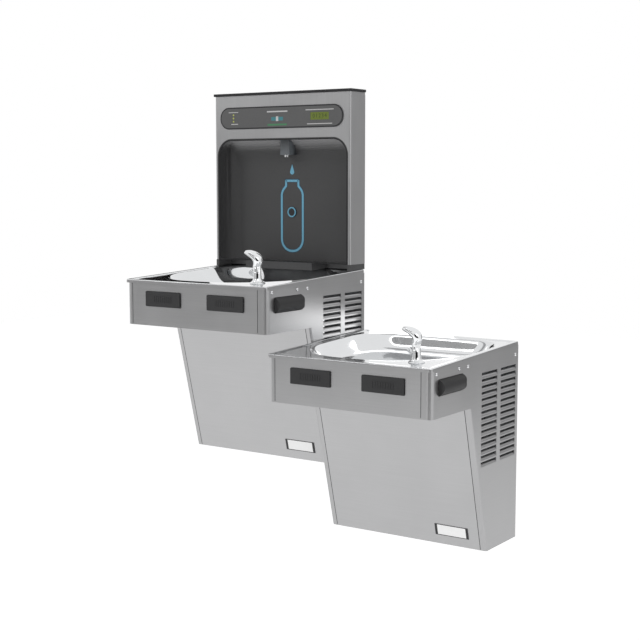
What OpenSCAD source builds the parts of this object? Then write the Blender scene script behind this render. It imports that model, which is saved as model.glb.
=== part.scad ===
// Wall-hung pair of drinking fountains with a bottle filler on the higher one.
// +X is the viewer's right, +Y points into the wall and +Z is up.
// The origin is on the wall, at the middle of the bracket's bolts.
// Each cabinet is drawn once, with its own left side at x = 0, the wall at y = 0 and its front rim at z = 0.

/* [Cabinets] */
// Width of each cabinet over its rim
unit_w = 465; // [430:1:500]
// Depth of each cabinet from the wall to the front of its rim
unit_d = 460; // [440:1:500]
// Height of each cabinet from its front rim to its foot
unit_h = 496; // [470:1:540]
// Gap between the two cabinets
unit_gap = 2; // [2:1:30]
// How much lower the right rim is than the left one
rim_drop = 165; // [140:1:180]
// Height of the left rim above the bracket's bolts
rim_above_bolts = 250; // [240:1:260]
// Rise of the rim from its front edge to the wall
rim_rise = 18; // [10:1:24]
// Height of the apron below the front rim
apron_h = 120; // [110:1:130]
// Set-back of the access panel's top edge behind the rim
panel_top_back = 195; // [180:1:205]
// Set-back of the access panel's foot behind the rim
panel_foot_back = 292; // [260:1:300]
// Thickness of the cabinet sheet
sheet = 1.2; // [1:0.1:1.5]
// Set-back of the apron behind the rim
apron_in = 5; // [4:0.5:8]
// Set-back of the side panels behind the rim
side_in = 2; // [1.8:0.1:3]
// Bend radius of the side panels round the apron's corners
apron_r = 13; // [10:1:18]
// Bend radius of the side panels round the access panel
access_r = 6; // [4:1:8]
// Distance of the apron's left seam from the rim's side
seam_left = 21; // [18.5:0.5:24]
// Distance of the apron's right seam from the rim's side
seam_right = 30; // [20:0.5:34]
// Distance of the access panel's seams from the rim's sides
seam_access = 18; // [14:0.5:24]

/* [Basin] */
// Width of the rolled rim
lip_w = 14; // [12:0.5:15]
// Height of the rim's outer skirt
lip_h = 9; // [7:0.5:12]
// Radius of the rim's corners
rim_r = 8; // [4:0.5:10]
// Step down from the rim to the deck
deck_drop = 2.5; // [1.5:0.1:4]
// Depth of the bowl below the rim
bowl_depth = 58; // [45:1:70]
// Width of the deck in front of the bowl
bowl_front = 51; // [46:1:60]
// Distance of the bowl's sides and back from the rim's edge
bowl_side = 19; // [18:0.5:26]
// Radius of the drain hole
drain_r = 24; // [20:0.5:28]

/* [Louvres] */
// Louvres in each column
louvre_count = 15; // [10:1:15]
// Distance from one louvre to the next
louvre_pitch = 15.9; // [15.2:0.1:16.2]
// Radius of a louvre's pressed tongue
louvre_r = 8; // [6:0.5:8.5]
// Clear slot above each tongue
louvre_slot = 5; // [3:0.5:5.5]
// Length of each louvre
louvre_l = 84; // [60:1:88]
// Height of the first slot below the front rim
louvre_top = 38; // [34:1:44]

/* [Push pads] */
// Width of each pad
pad_w = 116; // [100:1:122]
// Height of each pad
pad_h = 39; // [32:1:42]
// Height of the pads' middle below the front rim
pad_down = 49; // [48:1:54]
// Distance between the middles of the two front pads
pad_spacing = 206; // [200:1:216]
// How far a front pad stands out of the apron
pad_proud = 4; // [3:0.5:6]
// How far a side pad stands out of its panel
side_pad_proud = 14; // [11:0.5:16]
// Travel of every pad
pad_travel = 3; // [2:0.5:3]
// Distance of the side pads' middle behind the rim's front
side_pad_back = 97; // [94:1:106]

/* [Bubbler] */
// Distance of the bubbler from the rim's right side
bubbler_in = 82; // [76:1:90]
// Distance of the bubbler behind the rim's front
bubbler_back = 75; // [68:1:82]
// Height of the bubbler's body
bubbler_body_h = 44; // [36:1:50]
// Height of the guard above the body
bubbler_guard_h = 36; // [30:1:42]

/* [Bottle filler] */
// Height of the filler's cover above the left rim
filler_h = 497; // [470:1:530]
// Depth of the filler
filler_d = 76; // [74:1:90]
// Width of the filler
filler_w = 461; // [440:1:465]
// Shift of the filler from the middle of its cabinet
filler_shift = 0.5; // [-2:0.5:2]
// Height of the alcove's top above the left rim
alcove_top = 375; // [350:1:385]
// Width of the strip beside the alcove
jamb_w = 9.5; // [9:0.5:16]
// Radius of the alcove's upper corners
alcove_r = 48; // [30:1:60]
// Radius of the cover's upright corners
cover_r = 4; // [3:1:8]
// Height of the base frame's top above the left rim
base_top = 33; // [30:1:40]
// Thickness of the top cap
cap_t = 7; // [5:0.5:10]
// Width of the drip tray
tray_w = 226; // [180:1:260]
// Depth of the drip tray from the base's back bar
tray_d = 74; // [66:1:90]
// Width of the control panel
display_w = 418; // [380:1:424]
// Height of the control panel
display_h = 61; // [50:1:66]
// Height of the control panel's middle above the left rim
display_z = 434.5; // [428:0.5:444]
// Height of the nozzle's mouth above the left rim
nozzle_z = 331; // [320:1:336]

/* [Wall bracket] */
// Thickness of the bracket plate
bracket_t = 3; // [2.5:0.1:4]
// Height of the bracket plate
bracket_h = 120; // [110:1:130]
// Distance between the inner columns of bolts
bolt_x = 406.4; // [400:0.1:410]
// Distance between the two rows of bolts
bolt_z = 84; // [76:1:88]
// Half width of a bolt slot
bolt_r = 4; // [3:0.25:5]
// Length of a bolt slot
bolt_slot = 20; // [14:1:24]

/* [Hidden] */

// Shared clearances and overruns
fit = 0.3;
cut = 1;
far = unit_w + unit_d;
eps = 0.01;
skin = 0.02;

// Colours
steel = [0.66, 0.66, 0.67];
polished = [0.82, 0.83, 0.85];
galvanised = [0.62, 0.64, 0.66];
chrome = [0.86, 0.87, 0.89];
rubber_grey = [0.25, 0.25, 0.26];
plastic_grey = [0.3, 0.3, 0.31];
panel_grey = [0.4, 0.4, 0.4];
copper = [0.72, 0.45, 0.3];
black = [0.08, 0.08, 0.09];
white = [0.9, 0.9, 0.88];
brass = [0.78, 0.62, 0.3];
lcd_green = [0.45, 0.5, 0.08];
board_green = [0.1, 0.35, 0.18];

// Places of the two cabinets
upper_x = -unit_w - unit_gap/2;
lower_x = unit_gap/2;
upper_z = rim_above_bolts;
lower_z = rim_above_bolts - rim_drop;
wall_gap = bracket_t + fit;

// The rim plane slopes up towards the wall
slope = atan(rim_rise/unit_d);
rim_l = (unit_d - wall_gap)/cos(slope);
panel_top_gap = sheet + fit;

// Cabinet outline
apron_y = unit_d - apron_in;
access_top_y = unit_d - panel_top_back;
access_foot_y = unit_d - panel_foot_back;
access_h = unit_h - apron_h;
lean = atan((access_top_y - access_foot_y)/access_h);
flange = 14;
inner_x = side_in + sheet + fit;
pads_mid = unit_w/2 - (seam_right - seam_left)/6;

// Louvre columns
louvre_h = louvre_count*louvre_pitch;
louvre_back = 17;
louvre_gap = 20;
louvre_steps = 4;

// Push pads
pad_gap = 0.8;
pad_flange = 4;
pad_flange_t = 2.5;
pad_corner = 2;
side_pad_corner = 6;
ridge_count = 9;
ridge_w = 3;
ridge_step = 7;
ridge_h = 16;
ridge_proud = 0.8;
pad_z0 = -pad_down - pad_h/2;
side_pad_y0 = -unit_d + side_pad_back - pad_w/2;

// Screws through the side panels into the frame's arms
screw_r = 2;
screw_head_r = 4.6;
screw_head_h = 2.4;
screw_l = 8;
screw_down = 15.5;
screw_backs = [27, 136, 181, unit_d - 21];

// Back frame
frame_t = 1.5;
frame_front = wall_gap + sheet + frame_t;
arm_h = 18;
arm_drop = deck_drop + sheet + fit;
hook_w = 30;
hook_t = 3;
hook_h = 12;
hook_in = 62;
hook_z = 30;
service_w = 200;

// Pipes
tail_r = 14;
pipe_r = 16;
pipe_bend = 30;
pipe_wall = 1.7;
tube_r = 3.2;
link_r = 5;
link_drop = 203;
link_y = -40;

// Filler
filler_x0 = unit_w/2 + filler_shift - filler_w/2;
filler_mid = unit_w/2 + filler_shift;
alcove_w = filler_w - 2*jamb_w;
base_bar = 16;
base_side = jamb_w;
liner_t = 2;
back_plate_t = 1.5;

// Height of the rim plane above the front rim at a place y in front of the wall
function rim_z(y) = rim_rise*(1 + y/unit_d);
// A point of the rim's sloping frame, in the cabinet's frame
function from_rim(p) = [
  p.x,
  -unit_d + p.y*cos(slope) - p.z*sin(slope),
  p.y*sin(slope) + p.z*cos(slope)
];

module at_upper() translate([upper_x, 0, upper_z]) children();
module at_lower() translate([lower_x, 0, lower_z]) children();
module on_rim() translate([0, -unit_d, 0]) rotate([slope, 0, 0]) children();
module off_rim() rotate([-slope, 0, 0]) translate([0, unit_d, 0]) children();
// An outline in y and z, swept along x from x0 over a width w
module along_x(x0, w) translate([x0, 0, 0]) rotate([90, 0, 90]) linear_extrude(w) children();
// An outline in x and z, swept along y from y0 over a depth d
module along_y(y0, d) translate([0, y0 + d, 0]) rotate([90, 0, 0]) linear_extrude(d) children();
// Everything above the rim plane, lowered by a drop
module above_rim(drop) along_x(-far, 3*far) polygon([
  [-far, rim_z(-far) - drop],
  [far, rim_z(far) - drop],
  [far, far],
  [-far, far]
]);
module rounded(w, h, r) {
  translate([r, 0]) square([w - 2*r, h]);
  translate([0, r]) square([w, h - 2*r]);
  for (x = [r, w - r], y = [r, h - r]) translate([x, y]) circle(r, $fn = 48);
}

// A rectangle's outline with its own radius at each corner: front left, front right, back right, back left
function round_outline(x0, x1, y0, y1, rs, n) = concat(
  [for (i = [0:n]) [x0 + rs[0] + rs[0]*cos(180 + 90*i/n), y0 + rs[0] + rs[0]*sin(180 + 90*i/n)]],
  [for (i = [0:n]) [x1 - rs[1] + rs[1]*cos(270 + 90*i/n), y0 + rs[1] + rs[1]*sin(270 + 90*i/n)]],
  [for (i = [0:n]) [x1 - rs[2] + rs[2]*cos(90*i/n), y1 - rs[2] + rs[2]*sin(90*i/n)]],
  [for (i = [0:n]) [x0 + rs[3] + rs[3]*cos(90 + 90*i/n), y1 - rs[3] + rs[3]*sin(90 + 90*i/n)]]
);
function circle_outline(c, r, n) = [
  for (i = [0:n - 1]) [c.x + r*cos(180 + 360*(i + 0.5)/n), c.y + r*sin(180 + 360*(i + 0.5)/n)]
];
function mix(a, b, s) = a + (b - a)*s;
function raise(outline, z) = [for (p = outline) [p.x, p.y, z]];
// Sideways direction of a profile at point i, turned to its right
function profile_side(p, i) = let(
  a = p[max(i - 1, 0)],
  b = p[min(i + 1, len(p) - 1)],
  d = b - a
) [-d.y, d.x]/norm(d);

// A solid through a list of equal rings: a closed loop of rings, or capped at both ends
module loft(rings, loop) {
  n = len(rings[0]);
  m = len(rings);
  points = [for (r = rings) for (p = r) p];
  sides = [
    for (i = [0:(loop ? m - 1 : m - 2)]) for (j = [0:n - 1]) for (half = [0, 1])
      let(
        k = (i + 1) % m,
        l = (j + 1) % n,
        a = i*n + j,
        b = i*n + l,
        c = k*n + j,
        d = k*n + l
      )
      half == 0 ? [a, c, d] : [a, d, b]
  ];
  caps = loop ? [] : [[for (j = [0:n - 1]) j], [for (j = [n - 1:-1:0]) (m - 1)*n + j]];
  polyhedron(points, concat(sides, caps), convexity = 8);
}

// Rings of a round tube along a path
function unit(v) = v/norm(v);
function path_dir(p, i) = unit(p[min(i + 1, len(p) - 1)] - p[max(i - 1, 0)]);
function tube_ring(c, d, r, n) = let(
  u = unit(cross(d, abs(d.x) < 0.9 ? [1, 0, 0] : [0, 1, 0])),
  v = cross(d, u)
) [for (j = [0:n - 1]) c + r*cos(360*j/n)*u - r*sin(360*j/n)*v];
module tube_along(path, r, n = 8) loft(
  [for (i = [0:len(path) - 1]) tube_ring(path[i], path_dir(path, i), r, n)],
  false
);
// A quarter bend of a path about a centre, from direction a to direction b
function bend(c, a, b, r, n = 4) = [for (i = [0:n]) c + r*cos(90*i/n)*a + r*sin(90*i/n)*b];

// Wall bracket: one plate behind both cabinets, with slots for the bolts and four hooks
module wall_bracket() color(galvanised) {
  bracket_w = 2*unit_w + unit_gap - hook_in;
  difference() {
    along_y(-bracket_t, bracket_t)
      translate([-bracket_w/2, -bracket_h/2]) rounded(bracket_w, bracket_h, bolt_slot/2);
    for (x = [-bolt_x, -bolt_x/2, bolt_x/2, bolt_x], z = [-bolt_z/2, bolt_z/2])
      along_y(-bracket_t - cut, bracket_t + 2*cut)
        translate([x - bolt_slot/2, z - bolt_r]) rounded(bolt_slot, 2*bolt_r, bolt_r - eps);
  }
  for (x0 = [upper_x, lower_x], x = [hook_in, unit_w - hook_in])
    along_x(x0 + x - hook_w/2, hook_w) polygon([
      [-bracket_t, hook_z - hook_t],
      [-bracket_t, hook_z],
      [-frame_front - fit, hook_z],
      [-frame_front - fit, hook_z + hook_h],
      [-frame_front - fit - hook_t/2, hook_z + hook_h],
      [-frame_front - fit - hook_t, hook_z + hook_h - hook_t/2],
      [-frame_front - fit - hook_t, hook_z - hook_t]
    ]);
}

// Basin: one pressed sheet from the rolled rim over the deck and the bowl to the drain
bowl_corner_shares = [0.33, 0.46, 0.19, 0.19];
bowl_profile_shares = [
  [0, 0], [0.015, 0.015], [0.04, 0.08], [0.075, 0.26], [0.12, 0.5], [0.17, 0.68],
  [0.25, 0.8], [0.4, 0.88], [0.63, 0.94], [0.86, 0.985], [1, 1]
];
basin_n = 11;
drain_place = [unit_w/2, unit_d/2 + lip_w];
module basin() color(polished) {
  n = 4*(basin_n + 1);
  bowl = round_outline(
    bowl_side, unit_w - bowl_side, bowl_front, rim_l - bowl_side,
    [for (s = bowl_corner_shares) s*unit_w], basin_n
  );
  drain = circle_outline(drain_place, drain_r, n);
  span = (unit_w - bowl_front)/2 - drain_r;
  depth = bowl_depth - deck_drop;
  top = [for (s = bowl_profile_shares) [s.x*span, -deck_drop - s.y*depth]];
  under = [for (i = [0:len(top) - 1]) top[i] - sheet*profile_side(top, i)];
  top_rings = [for (p = top) raise(mix(bowl, drain, p.x/span), p.y)];
  under_rings = [
    for (i = [len(top) - 1:-1:0])
      raise(mix(bowl, drain, i == len(top) - 1 ? 1 : under[i].x/span), i == 0 ? -deck_drop - sheet : under[i].y)
  ];
  roll = deck_drop;
  rings = concat(
    [
      raise(rim_ring(0), -lip_h),
      raise(rim_ring(0), -roll),
      raise(rim_ring(roll*0.3), -roll*0.3),
      raise(rim_ring(roll), 0),
      raise(rim_ring(lip_w - roll), 0),
      raise(rim_ring(lip_w), -deck_drop)
    ],
    top_rings,
    under_rings,
    [
      raise(rim_ring(lip_w - sheet), -deck_drop - sheet),
      raise(rim_ring(lip_w - roll - sheet/2), -sheet),
      raise(rim_ring(roll), -sheet),
      raise(rim_ring(sheet), -roll),
      raise(rim_ring(sheet), -lip_h)
    ]
  );
  on_rim() difference() {
    loft(rings, true);
    translate([unit_w - bubbler_in, bubbler_back, -bowl_depth]) cylinder(r = shank_r + fit, h = 2*bowl_depth, $fn = 32);
    children();
  }
}
function rim_ring(inset) = round_outline(
  inset, unit_w - inset, inset, rim_l - inset,
  [for (k = [0:3]) max(rim_r - inset, sheet)], basin_n
);

// Side panel: a sheet wrapped round the apron and the access panel, with two columns of louvres.
// It is drawn as the left panel; the right one is its mirror image with its own seam.
function tongue_arc(r, i) = [louvre_r - r*cos(90*i/louvre_steps), r*sin(90*i/louvre_steps)];
module tongue() polygon(concat(
  [[sheet, -sheet], [0, -sheet]],
  [for (i = [0:louvre_steps]) tongue_arc(louvre_r, i)],
  [for (i = [louvre_steps:-1:0]) tongue_arc(louvre_r - sheet, i)]
));
module tongue_end() polygon(concat(
  [for (i = [0:louvre_steps]) tongue_arc(louvre_r - sheet/2, i)],
  [[sheet/2, louvre_r + louvre_slot + sheet/2]]
));
module louvre_column() {
  along_y(-sheet/2, louvre_l + sheet) for (i = [0:louvre_count - 1]) translate([0, i*louvre_pitch]) tongue();
  for (y = [-sheet/2, louvre_l - sheet/2]) along_y(y, sheet)
    for (i = [0:louvre_count - 1]) translate([0, i*louvre_pitch]) tongue_end();
}
louvre_z0 = -louvre_top - louvre_h;
louvre_ys = [-louvre_back - louvre_l, -louvre_back - 2*louvre_l - louvre_gap];
bend_steps = 6;
function corner_plan(front, r, seam) = concat(
  [[side_in, -front + r + sheet]],
  [
    for (i = [0:bend_steps]) let(a = 90*i/bend_steps)
      [side_in + r - r*cos(a), -front + r - r*sin(a)]
  ],
  [[seam, -front], [seam, -front + sheet]],
  [
    for (i = [bend_steps:-1:0]) let(a = 90*i/bend_steps)
      [side_in + r - (r - sheet)*cos(a), -front + r - (r - sheet)*sin(a)]
  ],
  [[side_in + sheet, -front + r + sheet]]
);
module side_panel(seam, link_hole) color(steel) {
  foot_y = access_foot_y - access_r - sheet/2;
  top_y = access_top_y - access_r - sheet/2;
  difference() {
    union() {
      along_x(side_in, sheet) polygon([
        [-wall_gap, -unit_h],
        [-foot_y, -unit_h],
        [-top_y, -apron_h],
        [-apron_y + apron_r + sheet/2, -apron_h],
        [-apron_y + apron_r + sheet/2, rim_rise],
        [-wall_gap, rim_rise]
      ]);
      // Bend and return round the apron's corner
      translate([0, 0, -apron_h]) linear_extrude(apron_h + rim_rise)
        polygon(corner_plan(apron_y, apron_r, seam));
      // Leaning bend and return round the access panel
      translate([-skin, 0, -unit_h]) multmatrix([
        [1, 0, 0, 0],
        [0, 1, -tan(lean), 0],
        [0, 0, 1, 0],
        [0, 0, 0, 1]
      ]) linear_extrude(access_h - fit) polygon(corner_plan(access_foot_y, access_r, seam_access));
      // Flange under the apron and flange against the wall
      translate([side_in, -apron_y + apron_r, -apron_h])
        cube([flange, apron_y - apron_r - access_top_y - sheet, sheet]);
      translate([side_in, -wall_gap - sheet, -unit_h])
        cube([flange, sheet, unit_h - louvre_top/2]);
    }
    above_rim(panel_top_gap);
    for (y = louvre_ys, i = [0:louvre_count - 1]) translate([0, y, louvre_z0 + i*louvre_pitch + sheet/4])
      cube([side_in + 2*sheet, louvre_l, louvre_r + louvre_slot - sheet/4]);
    along_x(0, side_in + 2*sheet)
      translate([side_pad_y0 - pad_gap, pad_z0 - pad_gap])
      rounded(pad_w + 2*pad_gap, pad_h + 2*pad_gap, pad_corner);
    for (b = screw_backs) translate([0, -unit_d + b, -screw_down])
      rotate([0, 90, 0]) cylinder(r = screw_r + fit, h = side_in + 2*sheet, $fn = 24);
    if (link_hole != 0) translate([0, link_y, link_hole])
      rotate([0, 90, 0]) cylinder(r = link_r + fit, h = side_in + 2*sheet, $fn = 32);
    corner_notch();
  }
  for (y = louvre_ys) translate([side_in, y, louvre_z0]) louvre_column();
}
// Room for the rim's back corners in the pieces below it
module corner_notch() for (x = [-cut, unit_w - rim_r - 2*fit])
  translate([x, -wall_gap - rim_r - fit, rim_z(-wall_gap - rim_r) - lip_h - 2*fit])
  cube([rim_r + 2*fit + cut, rim_r + wall_gap + cut, unit_h]);
module right_hand() translate([unit_w, 0, 0]) mirror([1, 0, 0]) children();

// Front apron between the two wraps, with a window for each front pad
module front_apron() color(steel) {
  x0 = seam_left + fit;
  w = unit_w - seam_right - fit - x0;
  difference() {
    translate([x0, -apron_y, -apron_h]) cube([w, sheet, apron_h + rim_rise]);
    above_rim(panel_top_gap);
    for (s = [-1, 1]) along_y(-apron_y - cut, sheet + 2*cut)
      translate([pads_mid + s*pad_spacing/2 - pad_w/2 - pad_gap, pad_z0 - pad_gap])
      rounded(pad_w + 2*pad_gap, pad_h + 2*pad_gap, pad_corner);
  }
  translate([x0, -apron_y, -apron_h]) cube([w, flange, sheet]);
}

// Access panel: the leaning front of the lower cabinet
module access_panel() color(steel) {
  x0 = seam_access + fit;
  w = unit_w - 2*x0;
  along_x(x0, w) leaning(sheet);
  for (x = [x0, x0 + w - sheet]) along_x(x, sheet) leaning(flange/2);
  translate([x0, -access_foot_y, -unit_h]) cube([w, flange, sheet]);
}
// Side view of a layer of the access panel, from its front face inwards
module leaning(t) polygon([
  [-access_top_y, -apron_h - fit],
  [-access_foot_y, -unit_h],
  [-access_foot_y + t, -unit_h],
  [-access_top_y + t, -apron_h - fit]
]);

// Underside panel: closes the apron from below, in front of the cabinet
module underside_panel() color(steel) {
  y0 = -apron_y + sheet + fit;
  d = -access_top_y - y0;
  difference() {
    translate([inner_x, y0, -apron_h + sheet]) cube([unit_w - 2*inner_x, d, sheet]);
    for (x = [inner_x - cut, unit_w - inner_x - apron_r + cut])
      translate([x, y0 - cut, -apron_h]) cube([apron_r, apron_r, 3*sheet]);
  }
  translate([seam_access + sheet, y0 + d - sheet, -apron_h + sheet])
    cube([unit_w - 2*(seam_access + sheet), sheet, flange]);
}

// Back frame: back plate with hanger slots, base shelf and two arms that carry the basin
module back_frame(hook_at, link_hole) color(galvanised) {
  x1 = unit_w - inner_x;
  plate_top = rim_z(-frame_front) - arm_drop;
  shelf_z = -unit_h + sheet + fit;
  difference() {
    translate([inner_x, -frame_front, shelf_z]) cube([x1 - inner_x, frame_t, plate_top - shelf_z]);
    for (x = [hook_in, unit_w - hook_in])
      translate([x - hook_w/2 - fit, -frame_front - cut, hook_at - hook_t - hook_h])
      cube([hook_w + 2*fit, frame_t + 2*cut, hook_t + hook_h + fit]);
    along_y(-frame_front - cut, frame_t + 2*cut)
      translate([unit_w/2 - service_w/2, -unit_h + service_w/2])
      rounded(service_w, unit_h - service_w/2 - apron_h, flange);
    corner_notch();
  }
  // Arms with a deeper root at the plate
  for (x = [inner_x, x1 - frame_t]) difference() {
    along_x(x, frame_t) polygon([
      [-frame_front, plate_top],
      [-frame_front, -apron_h/2 - arm_h],
      [-frame_front - arm_h, -apron_h/2 - arm_h],
      [-frame_front - apron_h/2, -arm_h - deck_drop],
      [-apron_y + apron_r + arm_h/3, -arm_h - deck_drop],
      [-apron_y + apron_r, -arm_h/2 - deck_drop],
      [-apron_y + apron_r, rim_z(-apron_y + apron_r) - arm_drop]
    ]);
    for (b = screw_backs) translate([0, -unit_d + b, -screw_down])
      rotate([0, 90, 0]) cylinder(r = screw_r + fit, h = unit_w, $fn = 24);
    for (y = louvre_ys) translate([0, y - sheet/2 - fit, louvre_z0])
      cube([unit_w, louvre_l + sheet + 2*fit, louvre_h]);
    corner_notch();
  }
  // Base shelf with vent slots
  shelf_d = access_foot_y - frame_front - flange - 2*sheet;
  difference() {
    translate([inner_x, -frame_front - shelf_d, shelf_z]) cube([x1 - inner_x, shelf_d + frame_t, frame_t]);
    for (i = [0:5]) translate([unit_w/2 - service_w/2 + i*service_w/6, -frame_front - shelf_d*0.85, shelf_z - cut])
      cube([service_w/12, shelf_d*0.3, frame_t + 2*cut]);
  }
}

// Push pads. A pad's lip lies behind its panel, so that the window guides the pad and stops it.
module grip_ridges() for (i = [0:ridge_count - 1])
  translate([(i - (ridge_count - 1)/2)*ridge_step - ridge_w/2, -ridge_h/2]) square([ridge_w, ridge_h]);
module front_pad(side) color(rubber_grey) {
  x0 = pads_mid + side*pad_spacing/2 - pad_w/2;
  lip_y = -apron_y + sheet + fit;
  along_y(-apron_y - pad_proud, pad_proud + sheet + fit)
    translate([x0, pad_z0]) rounded(pad_w, pad_h, pad_corner);
  along_y(lip_y, pad_flange_t)
    translate([x0 - pad_flange, pad_z0 - pad_flange])
    rounded(pad_w + 2*pad_flange, pad_h + 2*pad_flange, pad_corner);
  along_y(-apron_y - pad_proud - ridge_proud, ridge_proud)
    translate([x0 + pad_w/2, -pad_down]) grip_ridges();
}
// The bowed side pad, drawn on the left side
module side_pad() color(rubber_grey) {
  r = (pad_h*pad_h/4 + side_pad_proud*side_pad_proud)/(2*side_pad_proud);
  intersection() {
    rotate([90, 0, 0]) translate([side_in, 0, -side_pad_y0 - pad_w]) linear_extrude(pad_w)
      translate([0, -pad_down]) intersection() {
        translate([r - side_pad_proud, 0]) circle(r, $fn = 96);
        translate([-side_pad_proud, -pad_h/2]) square([side_pad_proud, pad_h]);
      }
    translate([0, 0, -unit_h]) linear_extrude(unit_h)
      translate([side_in - side_pad_proud, side_pad_y0])
      rounded(2*side_pad_proud, pad_w, side_pad_corner);
  }
  along_x(side_in, sheet + fit) translate([side_pad_y0, pad_z0]) rounded(pad_w, pad_h, pad_corner);
  along_x(inner_x, pad_flange_t)
    translate([side_pad_y0 - pad_flange, pad_z0 - pad_flange])
    rounded(pad_w + 2*pad_flange, pad_h + 2*pad_flange, pad_corner);
}

// Bubbler: turned body with its shank and nut, and a slanted nozzle
shank_r = 6;
bubbler_base_r = 20;
bubbler_stem_r = 10.5;
bubbler_base_h = 4;
nut_h = 5;
module at_bubbler() on_rim() translate([unit_w - bubbler_in, bubbler_back, -deck_drop]) children();
module bubbler() color(chrome) at_bubbler() {
  rotate_extrude($fn = 64) polygon([
    [0, -bowl_depth/3],
    [shank_r, -bowl_depth/3],
    [shank_r, 0],
    [bubbler_base_r, 0],
    [bubbler_base_r, bubbler_base_h*0.4],
    [bubbler_base_r*0.92, bubbler_base_h*0.8],
    [bubbler_base_r*0.75, bubbler_base_h*1.2],
    [bubbler_stem_r*1.18, bubbler_base_h*2],
    [bubbler_stem_r*1.05, bubbler_base_h*3.2],
    [bubbler_stem_r, bubbler_base_h*5],
    [bubbler_stem_r, bubbler_body_h],
    [0, bubbler_body_h]
  ]);
  translate([0, 0, -sheet - fit - nut_h]) cylinder(r = bubbler_base_r*0.6, h = nut_h, $fn = 6);
  // Spout block and its mouth, leaning towards the bowl
  translate([-bubbler_stem_r*0.5, 0, bubbler_body_h*0.42]) rotate([0, -50, 0]) {
    cylinder(r = bubbler_stem_r*0.62, h = bubbler_stem_r*1.9, $fn = 32);
    for (k = [0.95, 1.3, 1.65]) translate([0, 0, bubbler_stem_r*k])
      cylinder(r = bubbler_stem_r*0.78, h = bubbler_stem_r*0.18, $fn = 32);
  }
}
// Guard: a hooded shell that rises from the body and leans out over the nozzle
guard_spine_shares = [
  [0, 0, 1, 1, 0], [0.08, 0.2, 1.15, 1.12, 6], [0.1, 0.42, 1.3, 1.2, 20], [0, 0.62, 1.4, 1.15, 38],
  [-0.24, 0.78, 1.36, 1.02, 52], [-0.53, 0.89, 1.22, 0.84, 61], [-0.8, 0.95, 0.96, 0.64, 67],
  [-0.97, 0.97, 0.6, 0.4, 71]
];
guard_n = 20;
module bubbler_guard() color(chrome) at_bubbler() translate([0, 0, bubbler_body_h]) loft(
  [
    for (s = guard_spine_shares) [
      for (j = [0:guard_n - 1]) let(
        a = -360*j/guard_n,
        u = bubbler_stem_r*s[3]*cos(a),
        v = bubbler_stem_r*s[2]*sin(a)
      ) [
        s[0]*bubbler_guard_h + u*cos(s[4]),
        v,
        s[1]*bubbler_guard_h + u*sin(s[4])
      ]
    ]
  ],
  false
);

// Strainer with its cup and tail, in the drain hole
strainer_t = 1.6;
cup_h = 14;
tail_h = 15;
module strainer() color(chrome) on_rim() translate([drain_place.x, drain_place.y, -bowl_depth]) difference() {
  union() {
    translate([0, 0, fit]) cylinder(r = drain_r + flange/4, h = strainer_t, $fn = 64);
    translate([0, 0, -cup_h]) cylinder(r = drain_r - fit, h = cup_h + fit + eps, $fn = 64);
    translate([0, 0, -cup_h - tail_h]) cylinder(r = tail_r, h = tail_h + eps, $fn = 48);
  }
  translate([0, 0, -cup_h + strainer_t]) cylinder(r = drain_r - strainer_t, h = cup_h - strainer_t, $fn = 64);
  translate([0, 0, -cup_h - tail_h - cut]) cylinder(r = tail_r - strainer_t, h = tail_h + 2*cut + strainer_t, $fn = 48);
  for (ring = [0:2]) for (k = [0:max(ring*6 - 1, 0)])
    rotate([0, 0, ring == 0 ? 0 : k*60/ring]) translate([ring*drain_r*0.32, 0, -cut])
    cylinder(r = strainer_t, h = 3*cut + strainer_t, $fn = 16);
}
// Trap: from the strainer's tail down, round the bend and out through the wall
trap_drop = 66;
trap_arm_drop = 172;
elbow_r = 22;
module pipe_arc(c, r, a0, a) translate(c) rotate([90, 0, 90]) rotate([0, 0, a0])
  rotate_extrude(angle = a, $fn = 64) translate([r, 0]) circle(pipe_r, $fn = 48);
module trap() color(white) {
  tail = from_rim([drain_place.x, drain_place.y, -bowl_depth - cup_h - tail_h]);
  socket = tail.z + tail_h*0.6;
  low = -trap_arm_drop - pipe_bend;
  back_y = tail.y + 2*pipe_bend;
  difference() {
    union() {
      translate([tail.x, tail.y, low]) cylinder(r = pipe_r, h = socket - low, $fn = 48);
      translate([tail.x, tail.y, socket - tail_h]) cylinder(r = pipe_r + 4*pipe_wall, h = tail_h*0.8, $fn = 8);
      pipe_arc([tail.x, tail.y + pipe_bend, low], pipe_bend, 180, 180);
      translate([tail.x, back_y, low]) cylinder(r = pipe_r, h = pipe_bend - elbow_r, $fn = 48);
      pipe_arc([tail.x, back_y + elbow_r, -trap_arm_drop - elbow_r], elbow_r, 90, 90);
      translate([tail.x, back_y + elbow_r, -trap_arm_drop]) rotate([-90, 0, 0])
        cylinder(r = pipe_r, h = -back_y - elbow_r, $fn = 48);
    }
    translate([tail.x, tail.y, tail.z - tail_h*0.4]) cylinder(r = tail_r + 3*fit, h = trap_drop, $fn = 48);
    translate([tail.x, -trap_drop, -trap_arm_drop]) rotate([-90, 0, 0])
      cylinder(r = pipe_r - pipe_wall, h = trap_drop + cut, $fn = 48);
  }
}

// Regulator valve on a plate behind the apron
valve_w = 52;
valve_r = 15;
valve_l = 38;
module valve() color(brass) translate([pads_mid, -apron_y + sheet, -pad_down]) {
  translate([-valve_w/2, fit, -valve_w/2]) cube([valve_w, 2*sheet, valve_w]);
  translate([0, fit + sheet, 0]) rotate([-90, 0, 0]) cylinder(r = valve_r, h = valve_l, $fn = 48);
  translate([0, fit + valve_l, 0]) rotate([-90, 0, 0]) cylinder(r = valve_r*0.6, h = valve_l*0.3, $fn = 6);
  for (s = [-1, 1]) translate([0, valve_l*0.6, 0]) rotate([0, s*90, 0]) cylinder(r = link_r, h = valve_r*1.8, $fn = 32);
}

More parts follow.
